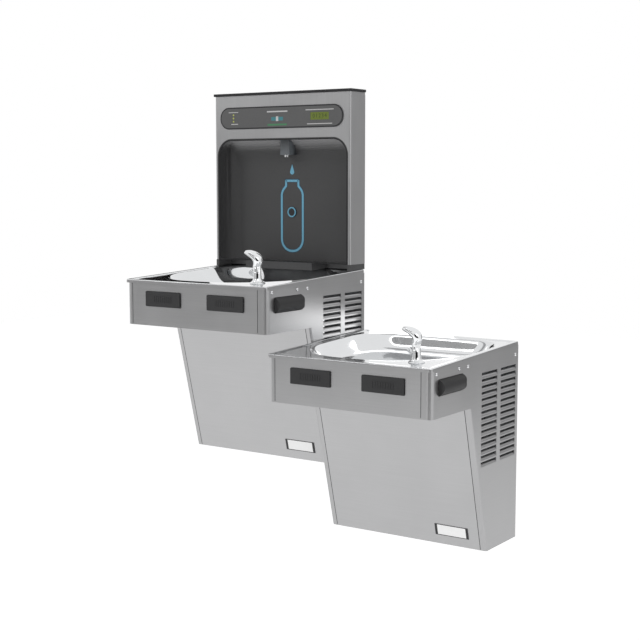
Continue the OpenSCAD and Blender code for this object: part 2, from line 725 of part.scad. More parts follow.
// Side screws: four pan heads in each side
module side_screws() color(chrome)
  for (side = [0, 1], b = screw_backs)
    translate([side*unit_w, 0, 0]) mirror([side, 0, 0]) translate([side_in - fit, -unit_d + b, -screw_down])
    rotate([0, 90, 0]) rotate_extrude($fn = 32) polygon([
      [0, -screw_head_h],
      [screw_head_r*0.5, -screw_head_h*0.92],
      [screw_head_r*0.85, -screw_head_h*0.6],
      [screw_head_r, 0],
      [screw_r, 0],
      [screw_r, screw_l],
      [0, screw_l]
    ]);

// Link tube between the cabinets, with a union on each side of both panels
module link_tube() color(copper) {
  x0 = -unit_gap/2 - side_in - 3*link_r;
  w = unit_gap + 2*side_in + 6*link_r;
  translate([x0, link_y, -link_drop]) rotate([0, 90, 0]) cylinder(r = link_r, h = w, $fn = 32);
  for (x = [x0 + link_r, -x0 - 2*link_r]) translate([x, link_y, -link_drop])
    rotate([0, 90, 0]) cylinder(r = 2*link_r, h = link_r, $fn = 6);
}

// Chiller in the upper cabinet
shelf_top = -unit_h + sheet + fit + frame_t;
compressor_r = 58;
compressor_h = 150;
compressor_x = unit_w*0.68;
compressor_y = -frame_front - compressor_r - 8*sheet;
module compressor() color(black) translate([compressor_x, compressor_y, shelf_top]) {
  rotate_extrude($fn = 72) polygon([
    [0, compressor_h*0.1],
    [compressor_r*0.8, compressor_h*0.1],
    [compressor_r, compressor_h*0.22],
    [compressor_r, compressor_h*0.5],
    [compressor_r*1.04, compressor_h*0.5],
    [compressor_r*1.04, compressor_h*0.54],
    [compressor_r, compressor_h*0.54],
    [compressor_r, compressor_h*0.78],
    [compressor_r*0.8, compressor_h*0.94],
    [compressor_r*0.4, compressor_h],
    [0, compressor_h]
  ]);
  for (a = [45:90:315]) rotate([0, 0, a]) translate([compressor_r*0.75, 0, 0]) cylinder(r = link_r*2, h = compressor_h*0.14, $fn = 32);
  translate([-compressor_r*0.5, 0, compressor_h*0.9]) cylinder(r = tube_r, h = compressor_h*0.25, $fn = 24);
}
condenser_in = 114;
condenser_x = unit_w - condenser_in;
condenser_w = 34;
condenser_d = 150;
condenser_h = 132;
condenser_z = shelf_top + compressor_h + 34;
fin_count = 16;
fin_t = 1.2;
module condenser() color(galvanised) translate([condenser_x, -frame_front - fit - condenser_d, condenser_z]) {
  for (i = [0:fin_count - 1]) translate([0, i*(condenser_d - fin_t)/(fin_count - 1), 0])
    cube([condenser_w, fin_t, condenser_h]);
  for (x = [0.3, 0.7], k = [0:4]) translate([condenser_w*x, 0, condenser_h*(k + 0.5)/5])
    rotate([-90, 0, 0]) cylinder(r = tube_r, h = condenser_d, $fn = 24);
  for (y = [0, condenser_d - 2*fin_t]) translate([-fin_t, y, 0]) cube([condenser_w + 2*fin_t, 2*fin_t, condenser_h]);
}
fan_r = 56;
fan_y = -frame_front - fit - condenser_d/2;
fan_z = condenser_z + condenser_h/2;
motor_r = 24;
motor_l = 42;
hub_r = 12;
blade_count = 5;
fan_gap = 12;
blade_w = 16;
fan_hub_l = 14;
shaft_r = 3;
fan_x = condenser_x - fan_gap - fan_hub_l;
module fan_blade() color(black) translate([fan_x, fan_y, fan_z]) rotate([0, 90, 0]) difference() {
  union() {
    cylinder(r = hub_r, h = fan_hub_l, $fn = 48);
    for (k = [0:blade_count - 1]) rotate([0, 0, k*360/blade_count]) translate([hub_r*0.8, 0, fan_hub_l/2])
      rotate([32, 0, 0]) translate([0, -blade_w/2, -sheet/2]) linear_extrude(sheet) polygon([
        [0, blade_w*0.2], [0, blade_w*0.8], [fan_r*0.35, blade_w*1.15], [fan_r*0.72, blade_w*1.05],
        [fan_r - hub_r, blade_w*0.6], [fan_r - hub_r, -blade_w*0.1], [fan_r*0.45, -blade_w*0.15]
      ]);
  }
  translate([0, 0, -cut]) cylinder(r = shaft_r + fit/6, h = fan_hub_l*0.8 + cut, $fn = 32);
}
module fan_motor() color(panel_grey) translate([fan_x - motor_l - fit*3, fan_y, fan_z]) {
  rotate([0, 90, 0]) {
    cylinder(r = motor_r, h = motor_l, $fn = 48);
    cylinder(r = shaft_r, h = motor_l + fit*3 + fan_hub_l*0.7, $fn = 32);
  }
  // Bracket from the motor back to the frame's plate
  bracket_l = -fan_y - frame_front - fit;
  translate([motor_l*0.25, 0, -motor_r*0.7]) cube([motor_l*0.5, bracket_l, 2*sheet]);
  translate([motor_l*0.25, bracket_l - 2*sheet, -motor_r*0.7]) cube([motor_l*0.5, 2*sheet, motor_r*1.4]);
}
tank_r = 52;
tank_h = 150;
tank_x = 84;
tank_y = -frame_front - tank_r - 8*sheet;
module cooling_tank() color(white) translate([tank_x, tank_y, shelf_top]) {
  cylinder(r = tank_r, h = tank_h, $fn = 72);
  translate([0, 0, tank_h - eps]) rotate_extrude($fn = 72) polygon([
    [0, 0], [tank_r*0.86, 0], [tank_r*0.7, tank_h*0.08], [tank_r*0.3, tank_h*0.12], [0, tank_h*0.12]
  ]);
  translate([0, 0, tank_h]) cylinder(r = link_r*1.6, h = tank_h*0.2, $fn = 6);
}
// Chilled water tube: from the tank up behind the basin's rim and the alcove to the solenoid valve
tube_y = -wall_gap - lip_w/2;
tube_bend = 16;
solenoid_z = alcove_top + 36;
module chilled_tube() color(copper) {
  z0 = shelf_top + tank_h*1.2 + fit;
  z1 = z0 + 2*tube_bend;
  tube_along(concat(
    [[tank_x, tank_y, z0]],
    bend([tank_x, tank_y + tube_bend, z1 - tube_bend], [0, -1, 0], [0, 0, 1], tube_bend),
    bend([tank_x, tube_y - tube_bend, z1 + tube_bend], [0, 0, -1], [0, 1, 0], tube_bend),
    [[tank_x, tube_y, solenoid_z - fit]]
  ), tube_r, 10);
}
module tube_hole(z, h) translate([tank_x, tube_y, z]) cylinder(r = tube_r + fit, h = h, $fn = 32);

// Filter in the lower cabinet
filter_r = 38;
filter_h = 190;
filter_x = 96;
filter_head_h = 34;
filter_y = -frame_front - fit - filter_r - 10*sheet;
filter_z = -apron_h - 70;
inlet_r = 4.76;
inlet_out = 50;
inlet_block = 22;
module filter_head() color(plastic_grey) translate([filter_x, filter_y, filter_z]) {
  cylinder(r = filter_r*0.72, h = filter_head_h, $fn = 64);
  for (s = [-1, 1]) translate([0, 0, filter_head_h*0.55]) rotate([0, s*90, 0])
    cylinder(r = 2*link_r, h = filter_r*1.1, $fn = 32);
  translate([-filter_r*0.5, 0, filter_head_h*0.2]) cube([filter_r, -filter_y - frame_front - fit, filter_head_h*0.7]);
  // Inlet tube through the frame's opening to the wall
  translate([inlet_out - inlet_block/2, -inlet_block/2, filter_head_h*0.55 - inlet_block/2])
    cube([inlet_block, inlet_block, inlet_block]);
  translate([inlet_out, inlet_block/2, filter_head_h*0.55]) rotate([-90, 0, 0])
    cylinder(r = inlet_r, h = -filter_y - inlet_block/2, $fn = 32);
}
module filter_cartridge() color(white) translate([filter_x, filter_y, filter_z - filter_h - fit])
  rotate_extrude($fn = 72) polygon([
    [0, 0],
    [filter_r*0.6, 0],
    [filter_r*0.9, filter_h*0.03],
    [filter_r, filter_h*0.08],
    [filter_r, filter_h*0.86],
    [filter_r*0.86, filter_h*0.92],
    [filter_r*0.86, filter_h],
    [0, filter_h]
  ]);

// Bottle alcove: the space that is left clear, drawn with an inset from its true surface
alcove_x0 = filler_x0 + jamb_w;
alcove_back = 16;
alcove_fillet = 38;
cove_front = 10;
cove_drop = 62;
cove_steps = 8;
module arch(inset) {
  w = alcove_w - 2*inset;
  r = alcove_r - inset;
  translate([alcove_x0 + inset, 0]) {
    square([w, alcove_top - inset - r]);
    translate([r, 0]) square([w - 2*r, alcove_top - inset]);
    for (x = [r, w - r]) translate([x, alcove_top - inset - r]) circle(r, $fn = 96);
  }
}
module alcove_space(inset) {
  b = filler_d - alcove_back - cove_front;
  w = alcove_w - 2*inset;
  r = alcove_fillet - inset;
  intersection() {
    along_y(-filler_d - cut, filler_d + cut) arch(inset);
    along_x(-cut, unit_w + 2*cut) polygon(concat(
      [[-filler_d - cut, 0], [-filler_d - cut, alcove_top - inset]],
      [
        for (i = [0:cove_steps]) let(a = 90*i/cove_steps) [
          -filler_d + cove_front + (b - inset)*sin(a),
          alcove_top - cove_drop + (cove_drop - inset)*cos(a)
        ]
      ],
      [[-alcove_back - inset, 0]]
    ));
    translate([alcove_x0 + inset, 0, 0]) linear_extrude(filler_h) {
      translate([0, -filler_d - cut]) square([w, filler_d + cut - alcove_back - inset - r]);
      translate([r, -filler_d - cut]) square([w - 2*r, filler_d + cut - alcove_back - inset]);
      for (x = [r, w - r]) translate([x, -alcove_back - inset - r]) circle(r, $fn = 96);
    }
  }
}
sensor_left = 3.5;
sensor_x = filler_mid - sensor_left;
sensor_z = 171;
sensor_r = 12;
module alcove_liner() color(plastic_grey) difference() {
  intersection() {
    alcove_space(-liner_t);
    translate([0, -filler_d, base_top + fit]) cube([unit_w, filler_d, filler_h]);
  }
  alcove_space(0);
  translate([sensor_x, 0, sensor_z]) rotate([90, 0, 0]) cylinder(r = sensor_r + fit, h = filler_d, $fn = 48);
  translate([nozzle_x, nozzle_y, alcove_top - cove_drop]) cylinder(r = pipe_feed_r + fit, h = filler_h, $fn = 32);
}

// Base frame under the filler, on the basin's rim
module filler_base() color(black) difference() {
  translate([filler_x0, -filler_d, 0]) cube([filler_w, filler_d - wall_gap, base_top]);
  translate([filler_x0 + base_side, -filler_d - cut, -cut])
    cube([filler_w - 2*base_side, filler_d - wall_gap - base_bar + cut, base_top + 2*cut]);
  on_rim() translate([-cut, -cut, -unit_h]) cube([unit_w + 2*cut, unit_d + lip_w, unit_h + fit]);
  tube_hole(-cut, base_top + 2*cut);
}

// Cover: one sheet round the front and sides, with the alcove's and the panel's openings
module cover_plan(inset) translate([filler_x0 + inset, -filler_d + inset]) {
  w = filler_w - 2*inset;
  r = cover_r - inset;
  translate([r, 0]) square([w - 2*r, r + cut]);
  translate([0, r]) square([w, filler_d - wall_gap - inset - r + (inset > 0 ? cut : 0)]);
  for (x = [r, w - r]) translate([x, r]) circle(r, $fn = 64);
}
module filler_cover() color(steel) difference() {
  translate([0, 0, base_top + fit]) linear_extrude(filler_h - base_top - fit) difference() {
    cover_plan(0);
    cover_plan(sheet);
  }
  along_y(-filler_d - cut, 3*sheet + cut) arch(-liner_t - fit);
  along_y(-filler_d - cut, 3*sheet + cut)
    translate([display_x - display_w/2 + display_lip - fit, display_z - display_h/2 + display_lip - fit])
    stadium(display_w - 2*display_lip + 2*fit, display_h - 2*display_lip + 2*fit);
}
module stadium(w, h) {
  translate([h/2, 0]) square([w - h, h]);
  for (x = [h/2, w - h/2]) translate([x, h/2]) circle(h/2, $fn = 96);
}

// Top cap with its turned-down edge and a lip inside the cover
cap_out = 3;
module filler_cap() color(black) {
  translate([filler_x0 - cap_out, -filler_d - cap_out, filler_h + fit])
    cube([filler_w + 2*cap_out, filler_d + cap_out - wall_gap, cap_t]);
  difference() {
    translate([filler_x0 + cover_r, -filler_d + cover_r, filler_h - cap_t])
      cube([filler_w - 2*cover_r, filler_d - 2*cover_r, cap_t + fit]);
    translate([filler_x0 + cover_r + 2*sheet, -filler_d + cover_r + 2*sheet, filler_h - cap_t - cut])
      cube([filler_w - 2*cover_r - 4*sheet, filler_d - 2*cover_r - 4*sheet, cap_t + cut]);
  }
}

// Back plate: a shallow pan that is bolted to the wall and holds the cover
plate_bolt_x = 360;
plate_bolt_z = 400;
plate_bolt_r = 3.5;
module filler_back_plate() color(galvanised) {
  x0 = filler_x0 + sheet + fit;
  w = filler_w - 2*sheet - 2*fit;
  z0 = base_top + 2*fit;
  h = filler_h - z0 - cap_t - fit;
  difference() {
    translate([x0, -back_plate_t, z0]) cube([w, back_plate_t, h]);
    for (x = [-0.5, 0.5]*plate_bolt_x, z = [-0.5, 0.5]*plate_bolt_z)
      along_y(-back_plate_t - cut, back_plate_t + 2*cut)
        translate([filler_mid + x, z0 + h/2 + z]) circle(plate_bolt_r, $fn = 32);
  }
  for (x = [x0, x0 + w - back_plate_t]) translate([x, -alcove_back/2 - wall_gap, z0])
    cube([back_plate_t, alcove_back/2 + wall_gap, h]);
}

// Drip tray with its pocket and ledge, and the slotted grille in it
tray_right = 3.5;
tray_x0 = filler_mid + tray_right - tray_w/2;
tray_y1 = -wall_gap - base_bar - fit;
tray_top = base_top + 2;
tray_wall = 3;
grille_t = 2;
grille_slots = 14;
module drip_tray() color(black) difference() {
  translate([tray_x0, tray_y1 - tray_d, 0]) cube([tray_w, tray_d, tray_top]);
  on_rim() translate([-cut, -cut, -unit_h]) cube([unit_w + 2*cut, unit_d + lip_w, unit_h + fit]);
  translate([tray_x0 + tray_wall, tray_y1 - tray_d + tray_wall, tray_top - grille_t - fit])
    cube([tray_w - 2*tray_wall, tray_d - 2*tray_wall, far]);
  translate([tray_x0 + 2*tray_wall, tray_y1 - tray_d + 2*tray_wall, tray_top - 3*tray_wall])
    cube([tray_w - 4*tray_wall, tray_d - 4*tray_wall, far]);
}
module drip_grille() color(black) difference() {
  g = tray_wall + fit;
  translate([tray_x0 + g, tray_y1 - tray_d + g, tray_top - grille_t])
    cube([tray_w - 2*g, tray_d - 2*g, grille_t]);
  for (i = [0:grille_slots - 1])
    translate([tray_x0 + 3*tray_wall + i*(tray_w - 7*tray_wall)/(grille_slots - 1), tray_y1 - tray_d*0.82, 0])
    cube([tray_wall, tray_d*0.64, far]);
}

// Control panel in the cover, with its window and lights, and the board behind it
display_left = 1;
window_right = 133;
lights_left = 162;
display_x = filler_mid - display_left;
display_lip = 4;
display_proud = 2;
display_depth = 8;
window_w = 60;
window_h = 20;
window_x = display_x + window_right;
light_x = display_x - lights_left;
light_r = 2.5;
light_step = 9;
module control_panel() color(panel_grey) difference() {
  union() {
    along_y(-filler_d - display_proud - fit, display_proud)
      translate([display_x - display_w/2, display_z - display_h/2]) stadium(display_w, display_h);
    along_y(-filler_d - fit - sheet, display_depth + fit + sheet)
      translate([display_x - display_w/2 + display_lip, display_z - display_h/2 + display_lip])
      stadium(display_w - 2*display_lip, display_h - 2*display_lip);
  }
  along_y(-filler_d + display_depth/4, display_depth)
    translate([display_x - display_w/2 + 3*display_lip, display_z - display_h/2 + 2*display_lip])
    square([display_w - 6*display_lip, display_h - 4*display_lip]);
  translate([window_x - window_w/2 - fit, -filler_d - far, display_z - window_h/2 - fit])
    cube([window_w + 2*fit, 2*far, window_h + 2*fit]);
  for (k = [-1:1]) translate([light_x, -filler_d - cut - display_proud - fit, display_z + k*light_step])
    rotate([-90, 0, 0]) cylinder(r = light_r + fit, h = far, $fn = 32);
}
module display_window() color(lcd_green) {
  translate([window_x - window_w/2, -filler_d - display_proud, display_z - window_h/2])
    cube([window_w, display_proud + display_depth/4 + fit, window_h]);
  translate([window_x - window_w/2 - 2*fit, -filler_d + display_depth/4 + fit, display_z - window_h/2 - 2*fit])
    cube([window_w + 4*fit, sheet, window_h + 4*fit]);
}
module status_lights() color(lcd_green)
  for (k = [-1:1]) translate([light_x, -filler_d - display_proud - fit, display_z + k*light_step]) rotate([-90, 0, 0]) {
    cylinder(r = light_r, h = display_proud + display_depth/4 + 2*fit, $fn = 32);
    translate([0, 0, display_proud + display_depth/4 + 2*fit]) cylinder(r = light_r + 3*fit, h = sheet, $fn = 32);
  }
board_t = 1.6;
module control_board() color(board_green) {
  y = -filler_d + display_depth + fit;
  x0 = display_x - display_w*0.42;
  w = display_w*0.84;
  h = display_h - 5*display_lip;
  translate([x0, y, display_z - h/2]) cube([w, board_t, h]);
  for (x = [x0 + light_r*2, x0 + w - light_r*2], z = [-0.38, 0.38]*h)
    translate([x, y + fit - display_depth*3/4, display_z + z]) rotate([-90, 0, 0])
    cylinder(r = light_r, h = display_depth*3/4 - fit, $fn = 32);
  translate([display_x - window_w/2, y + board_t, display_z - h*0.3]) cube([window_w, display_depth, h*0.5]);
  for (k = [0:3]) translate([display_x + window_w*0.7 + k*window_h, y + board_t, display_z]) rotate([-90, 0, 0])
    cylinder(r = light_r*2, h = display_depth*1.3, $fn = 32);
}

// Nozzle hood under the alcove's ceiling, and the nozzle in it
hood_w = 30;
hood_l = 54;
hood_t = 2;
nozzle_x = filler_mid;
nozzle_y = -filler_d + 30;
nozzle_r = 7;
nozzle_l = 18;
pipe_feed_r = 4;
hood_h = alcove_top - nozzle_z;
module nozzle_hood() color(panel_grey) intersection() {
  difference() {
    translate([nozzle_x - hood_w/2, nozzle_y - nozzle_r - 2*hood_t, nozzle_z]) cube([hood_w, hood_l, hood_h]);
    translate([nozzle_x, nozzle_y, nozzle_z - cut]) cylinder(r = nozzle_r + fit, h = nozzle_l + cut, $fn = 48);
    translate([nozzle_x, nozzle_y, nozzle_z]) cylinder(r = pipe_feed_r + fit, h = hood_h, $fn = 32);
  }
  alcove_space(fit);
}
module nozzle_tip() color(chrome) translate([nozzle_x, nozzle_y, nozzle_z - nozzle_l/3]) difference() {
  cylinder(r = nozzle_r, h = nozzle_l, $fn = 48);
  translate([0, 0, -cut]) cylinder(r = nozzle_r*0.55, h = nozzle_l + 2*cut, $fn = 48);
}
module sensor_window() color(black) translate([sensor_x, -alcove_back - fit, sensor_z]) rotate([90, 0, 0]) {
  cylinder(r = sensor_r + 3, h = liner_t, $fn = 64);
  translate([0, 0, -liner_t - 4*fit - sensor_r*0.4]) cylinder(r = sensor_r, h = liner_t + 4*fit + sensor_r*0.4, $fn = 64);
}

// Solenoid valve above the alcove, with its coil and its pipe to the nozzle
solenoid_w = 26;
module solenoid_valve() color(brass) {
  feed_z = solenoid_z + solenoid_w*0.5;
  translate([tank_x, tube_y, solenoid_z]) cylinder(r = tube_r*1.9, h = solenoid_w*0.3, $fn = 6);
  translate([tank_x - solenoid_w/2, tube_y - solenoid_w*0.8, solenoid_z + solenoid_w*0.3])
    cube([solenoid_w, solenoid_w*0.8 + tube_r*1.5, solenoid_w*0.6]);
  translate([tank_x, tube_y - solenoid_w*0.4, solenoid_z + solenoid_w*0.9])
    cylinder(r = solenoid_w*0.42, h = solenoid_w*1.1, $fn = 48);
  feed_y = nozzle_y + solenoid_w*0.3;
  translate([tank_x, feed_y, feed_z]) rotate([0, 90, 0])
    cylinder(r = pipe_feed_r, h = nozzle_x - tank_x - solenoid_w/4, $fn = 32);
  translate([tank_x - solenoid_w/4, feed_y - solenoid_w/4, feed_z - solenoid_w/4])
    cube([solenoid_w/2, tube_y - feed_y, solenoid_w/2]);
  translate([nozzle_x - solenoid_w/4, nozzle_y - solenoid_w/4, feed_z - solenoid_w/4])
    cube([solenoid_w/2, solenoid_w*0.8, solenoid_w/2]);
  translate([nozzle_x, nozzle_y, nozzle_z + nozzle_l*2/3 + fit])
    cylinder(r = pipe_feed_r, h = feed_z - solenoid_w/4 - nozzle_z - nozzle_l*2/3 - fit, $fn = 32);
}

wall_bracket();
link_tube();
at_upper() basin() off_rim() tube_hole(-unit_h, 2*unit_h);  // upper_basin
at_upper() front_apron();  // upper_front_apron
at_upper() side_panel(seam_left, 0);  // upper_left_panel
at_upper() right_hand() side_panel(seam_right, -link_drop - upper_z);  // upper_right_panel
at_upper() access_panel();  // upper_access_panel
at_upper() underside_panel();  // upper_underside_panel
at_upper() back_frame(hook_z - upper_z);  // upper_back_frame
at_upper() front_pad(-1);  // upper_pad_front_left
at_upper() front_pad(1);  // upper_pad_front_right
at_upper() side_pad();  // upper_pad_side_left
at_upper() right_hand() side_pad();  // upper_pad_side_right
at_upper() bubbler();  // upper_bubbler
at_upper() bubbler_guard();  // upper_bubbler_guard
at_upper() strainer();  // upper_strainer
at_upper() trap();  // upper_trap
at_upper() valve();  // upper_valve
at_upper() side_screws();  // upper_side_screws
at_lower() basin();  // lower_basin
at_lower() front_apron();  // lower_front_apron
at_lower() side_panel(seam_left, -link_drop - lower_z);  // lower_left_panel
at_lower() right_hand() side_panel(seam_right, 0);  // lower_right_panel
at_lower() access_panel();  // lower_access_panel
at_lower() underside_panel();  // lower_underside_panel
at_lower() back_frame(hook_z - lower_z);  // lower_back_frame
at_lower() front_pad(-1);  // lower_pad_front_left
at_lower() front_pad(1);  // lower_pad_front_right
at_lower() side_pad();  // lower_pad_side_left
at_lower() right_hand() side_pad();  // lower_pad_side_right
at_lower() bubbler();  // lower_bubbler
at_lower() bubbler_guard();  // lower_bubbler_guard
at_lower() strainer();  // lower_strainer
at_lower() trap();  // lower_trap
at_lower() valve();  // lower_valve
at_lower() side_screws();  // lower_side_screws
at_upper() compressor();
at_upper() condenser();
at_upper() fan_blade();
at_upper() fan_motor();
at_upper() cooling_tank();
at_upper() chilled_tube();
at_lower() filter_head();
at_lower() filter_cartridge();
at_upper() filler_base();
at_upper() filler_cover();
at_upper() filler_cap();
at_upper() filler_back_plate();
at_upper() alcove_liner();
at_upper() drip_tray();
at_upper() drip_grille();
at_upper() control_panel();
at_upper() display_window();
at_upper() status_lights();
at_upper() nozzle_hood();
at_upper() nozzle_tip();
at_upper() sensor_window();
at_upper() solenoid_valve();
at_upper() control_board();
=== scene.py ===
"""Dresses the wall-hung bottle filling station.

It adds the finishes, smooth pressings, small trim and the studio to the parts of the shared frame.
"""

import logging
import math
from dataclasses import dataclass
from enum import Enum

import bpy
from mathutils import Euler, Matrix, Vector

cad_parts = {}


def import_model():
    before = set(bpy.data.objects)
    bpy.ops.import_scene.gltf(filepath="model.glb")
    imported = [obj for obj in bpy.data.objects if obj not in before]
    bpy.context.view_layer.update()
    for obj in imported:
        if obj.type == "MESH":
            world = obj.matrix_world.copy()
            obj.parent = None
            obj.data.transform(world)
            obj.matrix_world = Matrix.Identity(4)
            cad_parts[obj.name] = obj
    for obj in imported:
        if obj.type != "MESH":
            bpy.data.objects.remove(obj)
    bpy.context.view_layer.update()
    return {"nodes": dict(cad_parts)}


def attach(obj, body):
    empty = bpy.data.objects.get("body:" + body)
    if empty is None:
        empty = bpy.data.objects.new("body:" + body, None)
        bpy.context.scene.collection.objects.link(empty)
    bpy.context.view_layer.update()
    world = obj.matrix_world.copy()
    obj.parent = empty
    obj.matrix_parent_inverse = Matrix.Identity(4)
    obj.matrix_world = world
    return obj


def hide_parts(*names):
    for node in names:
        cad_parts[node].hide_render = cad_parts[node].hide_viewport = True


LOG = logging.getLogger("station")
Point = tuple[float, float, float]
Colour = tuple[float, float, float]
STATION = "station"
# Which corners of a flat mesh are rounded: two heights, a radius and the arc's steps.
Corners = tuple[float, float, float, int]

FRAME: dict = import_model()

# The patterns' usual span and fineness, how much of a pattern is clouds, the relief's height in
# metres and the gloss of a clear coat.
PATTERN_LOW = 0.3
PATTERN_HIGH = 0.7
LINE_DETAIL = 3.0
CLOUD_DETAIL = 2.0
CLOUD_SHARE = 0.4
RELIEF_HEIGHT = 0.0002
COAT_ROUGHNESS = 0.08

# Distances in metres below which points count as one, or as equally high.
MERGE_GAP = 0.00002
TOP_GAP = 0.00001
# The largest angles in degrees over which two triangles become one face.
FACE_ANGLE = 30
SHAPE_ANGLE = 60
# A thin plate's bevel as a share of its smallest side.
PLATE_BEVEL = 0.3
UPRIGHT = (math.pi / 2, 0, 0)


class Side(Enum):
    """The two cabinets and where each one's own corner stands in the shared frame, in metres."""

    UPPER = (-0.466, 0.0, 0.250)
    LOWER = (0.001, 0.0, 0.085)

    @property
    def prefix(self) -> str:
        """Gives the name prefix of the cabinet's nodes."""
        return self.name.lower()

    def at(self, x: float, y: float, z: float) -> Vector:
        """Turns millimetres from the cabinet's left, the wall and the front rim into a point."""
        return Vector(self.value) + Vector((x, y, z)) / 1000


class Grain(Enum):
    """Which way the fine lines of a surface run, as a scale for its pattern."""

    UPRIGHT = (900.0, 900.0, 7.0)
    LEVEL = (7.0, 900.0, 900.0)
    DEEP = (900.0, 7.0, 900.0)
    EVEN = (260.0, 260.0, 260.0)


@dataclass(frozen=True)
class Finish:
    """A surface with colour variation, changing gloss and a fine relief."""

    name: str
    colour: Colour
    roughness: float
    metallic: float = 0.0
    grain: Grain = Grain.EVEN
    tone_share: float = 0.08
    gloss_share: float = 0.15
    relief: float = 0.02
    cloud_scale: float = 9.0
    coat: float = 0.0
    glow: float = 0.0
    specular: float = 0.5

    def material(self) -> bpy.types.Material:
        """Builds the node material.

        Returns:
            The material, made once for each finish.
        """
        label = f"dress_{self.name}"
        found = bpy.data.materials.get(label)
        if found is not None:
            return found
        mat = bpy.data.materials.new(label)
        mat.use_nodes = True
        tree = mat.node_tree
        shader = tree.nodes["Principled BSDF"]
        shader.inputs["Metallic"].default_value = self.metallic
        shader.inputs["Coat Weight"].default_value = self.coat
        shader.inputs["Coat Roughness"].default_value = COAT_ROUGHNESS
        shader.inputs["Specular IOR Level"].default_value = self.specular
        lines = self._noise(tree, self.grain.value, LINE_DETAIL)
        cloud = self._noise(tree, (self.cloud_scale,) * 3, CLOUD_DETAIL)
        blend = tree.nodes.new("ShaderNodeMix")
        blend.data_type = "FLOAT"
        blend.inputs[0].default_value = CLOUD_SHARE
        tree.links.new(lines, blend.inputs[2])
        tree.links.new(cloud, blend.inputs[3])
        self._tone(tree, blend.outputs[0], shader)
        self._gloss(tree, blend.outputs[0], shader)
        self._relief(tree, lines, shader)
        return mat

    @staticmethod
    def _noise(tree: bpy.types.NodeTree, scale: Point, detail: float) -> bpy.types.NodeSocket:
        """Adds a noise pattern on scaled object coordinates.

        Args:
            tree: the material's node tree.
            scale: stretch along X, Y and Z.
            detail: how many finer layers it has.

        Returns:
            The pattern's value.
        """
        place = tree.nodes.new("ShaderNodeTexCoord")
        mapping = tree.nodes.new("ShaderNodeMapping")
        mapping.inputs["Scale"].default_value = scale
        noise = tree.nodes.new("ShaderNodeTexNoise")
        noise.inputs["Scale"].default_value = 1.0
        noise.inputs["Detail"].default_value = detail
        tree.links.new(place.outputs["Object"], mapping.inputs["Vector"])
        tree.links.new(mapping.outputs["Vector"], noise.inputs["Vector"])
        return noise.outputs["Fac"]

    def _tone(
        self, tree: bpy.types.NodeTree, value: bpy.types.NodeSocket, shader: bpy.types.Node
    ) -> None:
        """Lets the colour follow the pattern, and the glow where the finish has one.

        Args:
            tree: the material's node tree.
            value: the pattern.
            shader: the material's shader.
        """
        ramp = tree.nodes.new("ShaderNodeValToRGB")
        dark, light = ramp.color_ramp.elements
        dark.position, light.position = PATTERN_LOW, PATTERN_HIGH
        dark.color = (*(c * (1 - self.tone_share) for c in self.colour), 1)
        light.color = (*(min(1, c * (1 + self.tone_share)) for c in self.colour), 1)
        tree.links.new(value, ramp.inputs["Fac"])
        tree.links.new(ramp.outputs["Color"], shader.inputs["Base Color"])
        if self.glow > 0:
            tree.links.new(ramp.outputs["Color"], shader.inputs["Emission Color"])
            shader.inputs["Emission Strength"].default_value = self.glow

    def _gloss(
        self, tree: bpy.types.NodeTree, value: bpy.types.NodeSocket, shader: bpy.types.Node
    ) -> None:
        """Lets the roughness follow the pattern.

        Args:
            tree: the material's node tree.
            value: the pattern.
            shader: the material's shader.
        """
        span = tree.nodes.new("ShaderNodeMapRange")
        span.inputs["From Min"].default_value = PATTERN_LOW
        span.inputs["From Max"].default_value = PATTERN_HIGH
        span.inputs["To Min"].default_value = self.roughness * (1 - self.gloss_share)
        span.inputs["To Max"].default_value = min(1.0, self.roughness * (1 + self.gloss_share))
        tree.links.new(value, span.inputs["Value"])
        tree.links.new(span.outputs["Result"], shader.inputs["Roughness"])

    def _relief(
        self, tree: bpy.types.NodeTree, value: bpy.types.NodeSocket, shader: bpy.types.Node
    ) -> None:
        """Adds the fine relief.

        Args:
            tree: the material's node tree.
            value: the pattern of lines.
            shader: the material's shader.
        """
        bump = tree.nodes.new("ShaderNodeBump")
        bump.inputs["Strength"].default_value = self.relief
        bump.inputs["Distance"].default_value = RELIEF_HEIGHT
        tree.links.new(value, bump.inputs["Height"])
        tree.links.new(bump.outputs["Normal"], shader.inputs["Normal"])


UPRIGHT_STEEL = Finish(
    "upright_satin_steel", (0.42, 0.42, 0.425), 0.34, 1.0, Grain.UPRIGHT,
    0.05, 0.12, 0.10,
)
LEVEL_STEEL = Finish(
    "level_satin_steel", (0.42, 0.42, 0.425), 0.34, 1.0, Grain.LEVEL,
    0.05, 0.12, 0.10,
)
# The side panels' steel has its grain running front to back, and its colour is a little darker than
# the other satin steel: that darker colour is painted shade on the sides.
SHADED_SIDE_STEEL = Finish(
    "side_satin_steel_painted_shade", (0.40, 0.40, 0.405), 0.34, 1.0, Grain.DEEP,
    0.05, 0.12, 0.10,
)
POLISHED_STEEL = Finish(
    "polished_steel", (0.72, 0.73, 0.74), 0.09, 1.0, Grain.DEEP,
    0.03, 0.25, 0.02,
)
ZINC = Finish(
    "zinc_plate", (0.42, 0.44, 0.46), 0.48, 1.0, Grain.EVEN,
    0.14, 0.2, 0.05, cloud_scale=40,
)
CHROME = Finish("chrome_plate", (0.78, 0.79, 0.80), 0.06, 1.0, Grain.EVEN, 0.02, 0.3, 0.005)
PAD_RUBBER = Finish(
    "pad_rubber", (0.030, 0.030, 0.031), 0.55, 0.0, Grain.EVEN,
    0.12, 0.15, 0.25, specular=0.22,
)
BLACK_PLASTIC = Finish(
    "black_plastic", (0.018, 0.018, 0.019), 0.45, 0.0, Grain.EVEN,
    0.1, 0.12, 0.2, specular=0.2,
)
LINER_PLASTIC = Finish(
    "liner_plastic", (0.056, 0.056, 0.057), 0.46, 0.0, Grain.EVEN,
    0.06, 0.12, 0.15, specular=0.25,
)
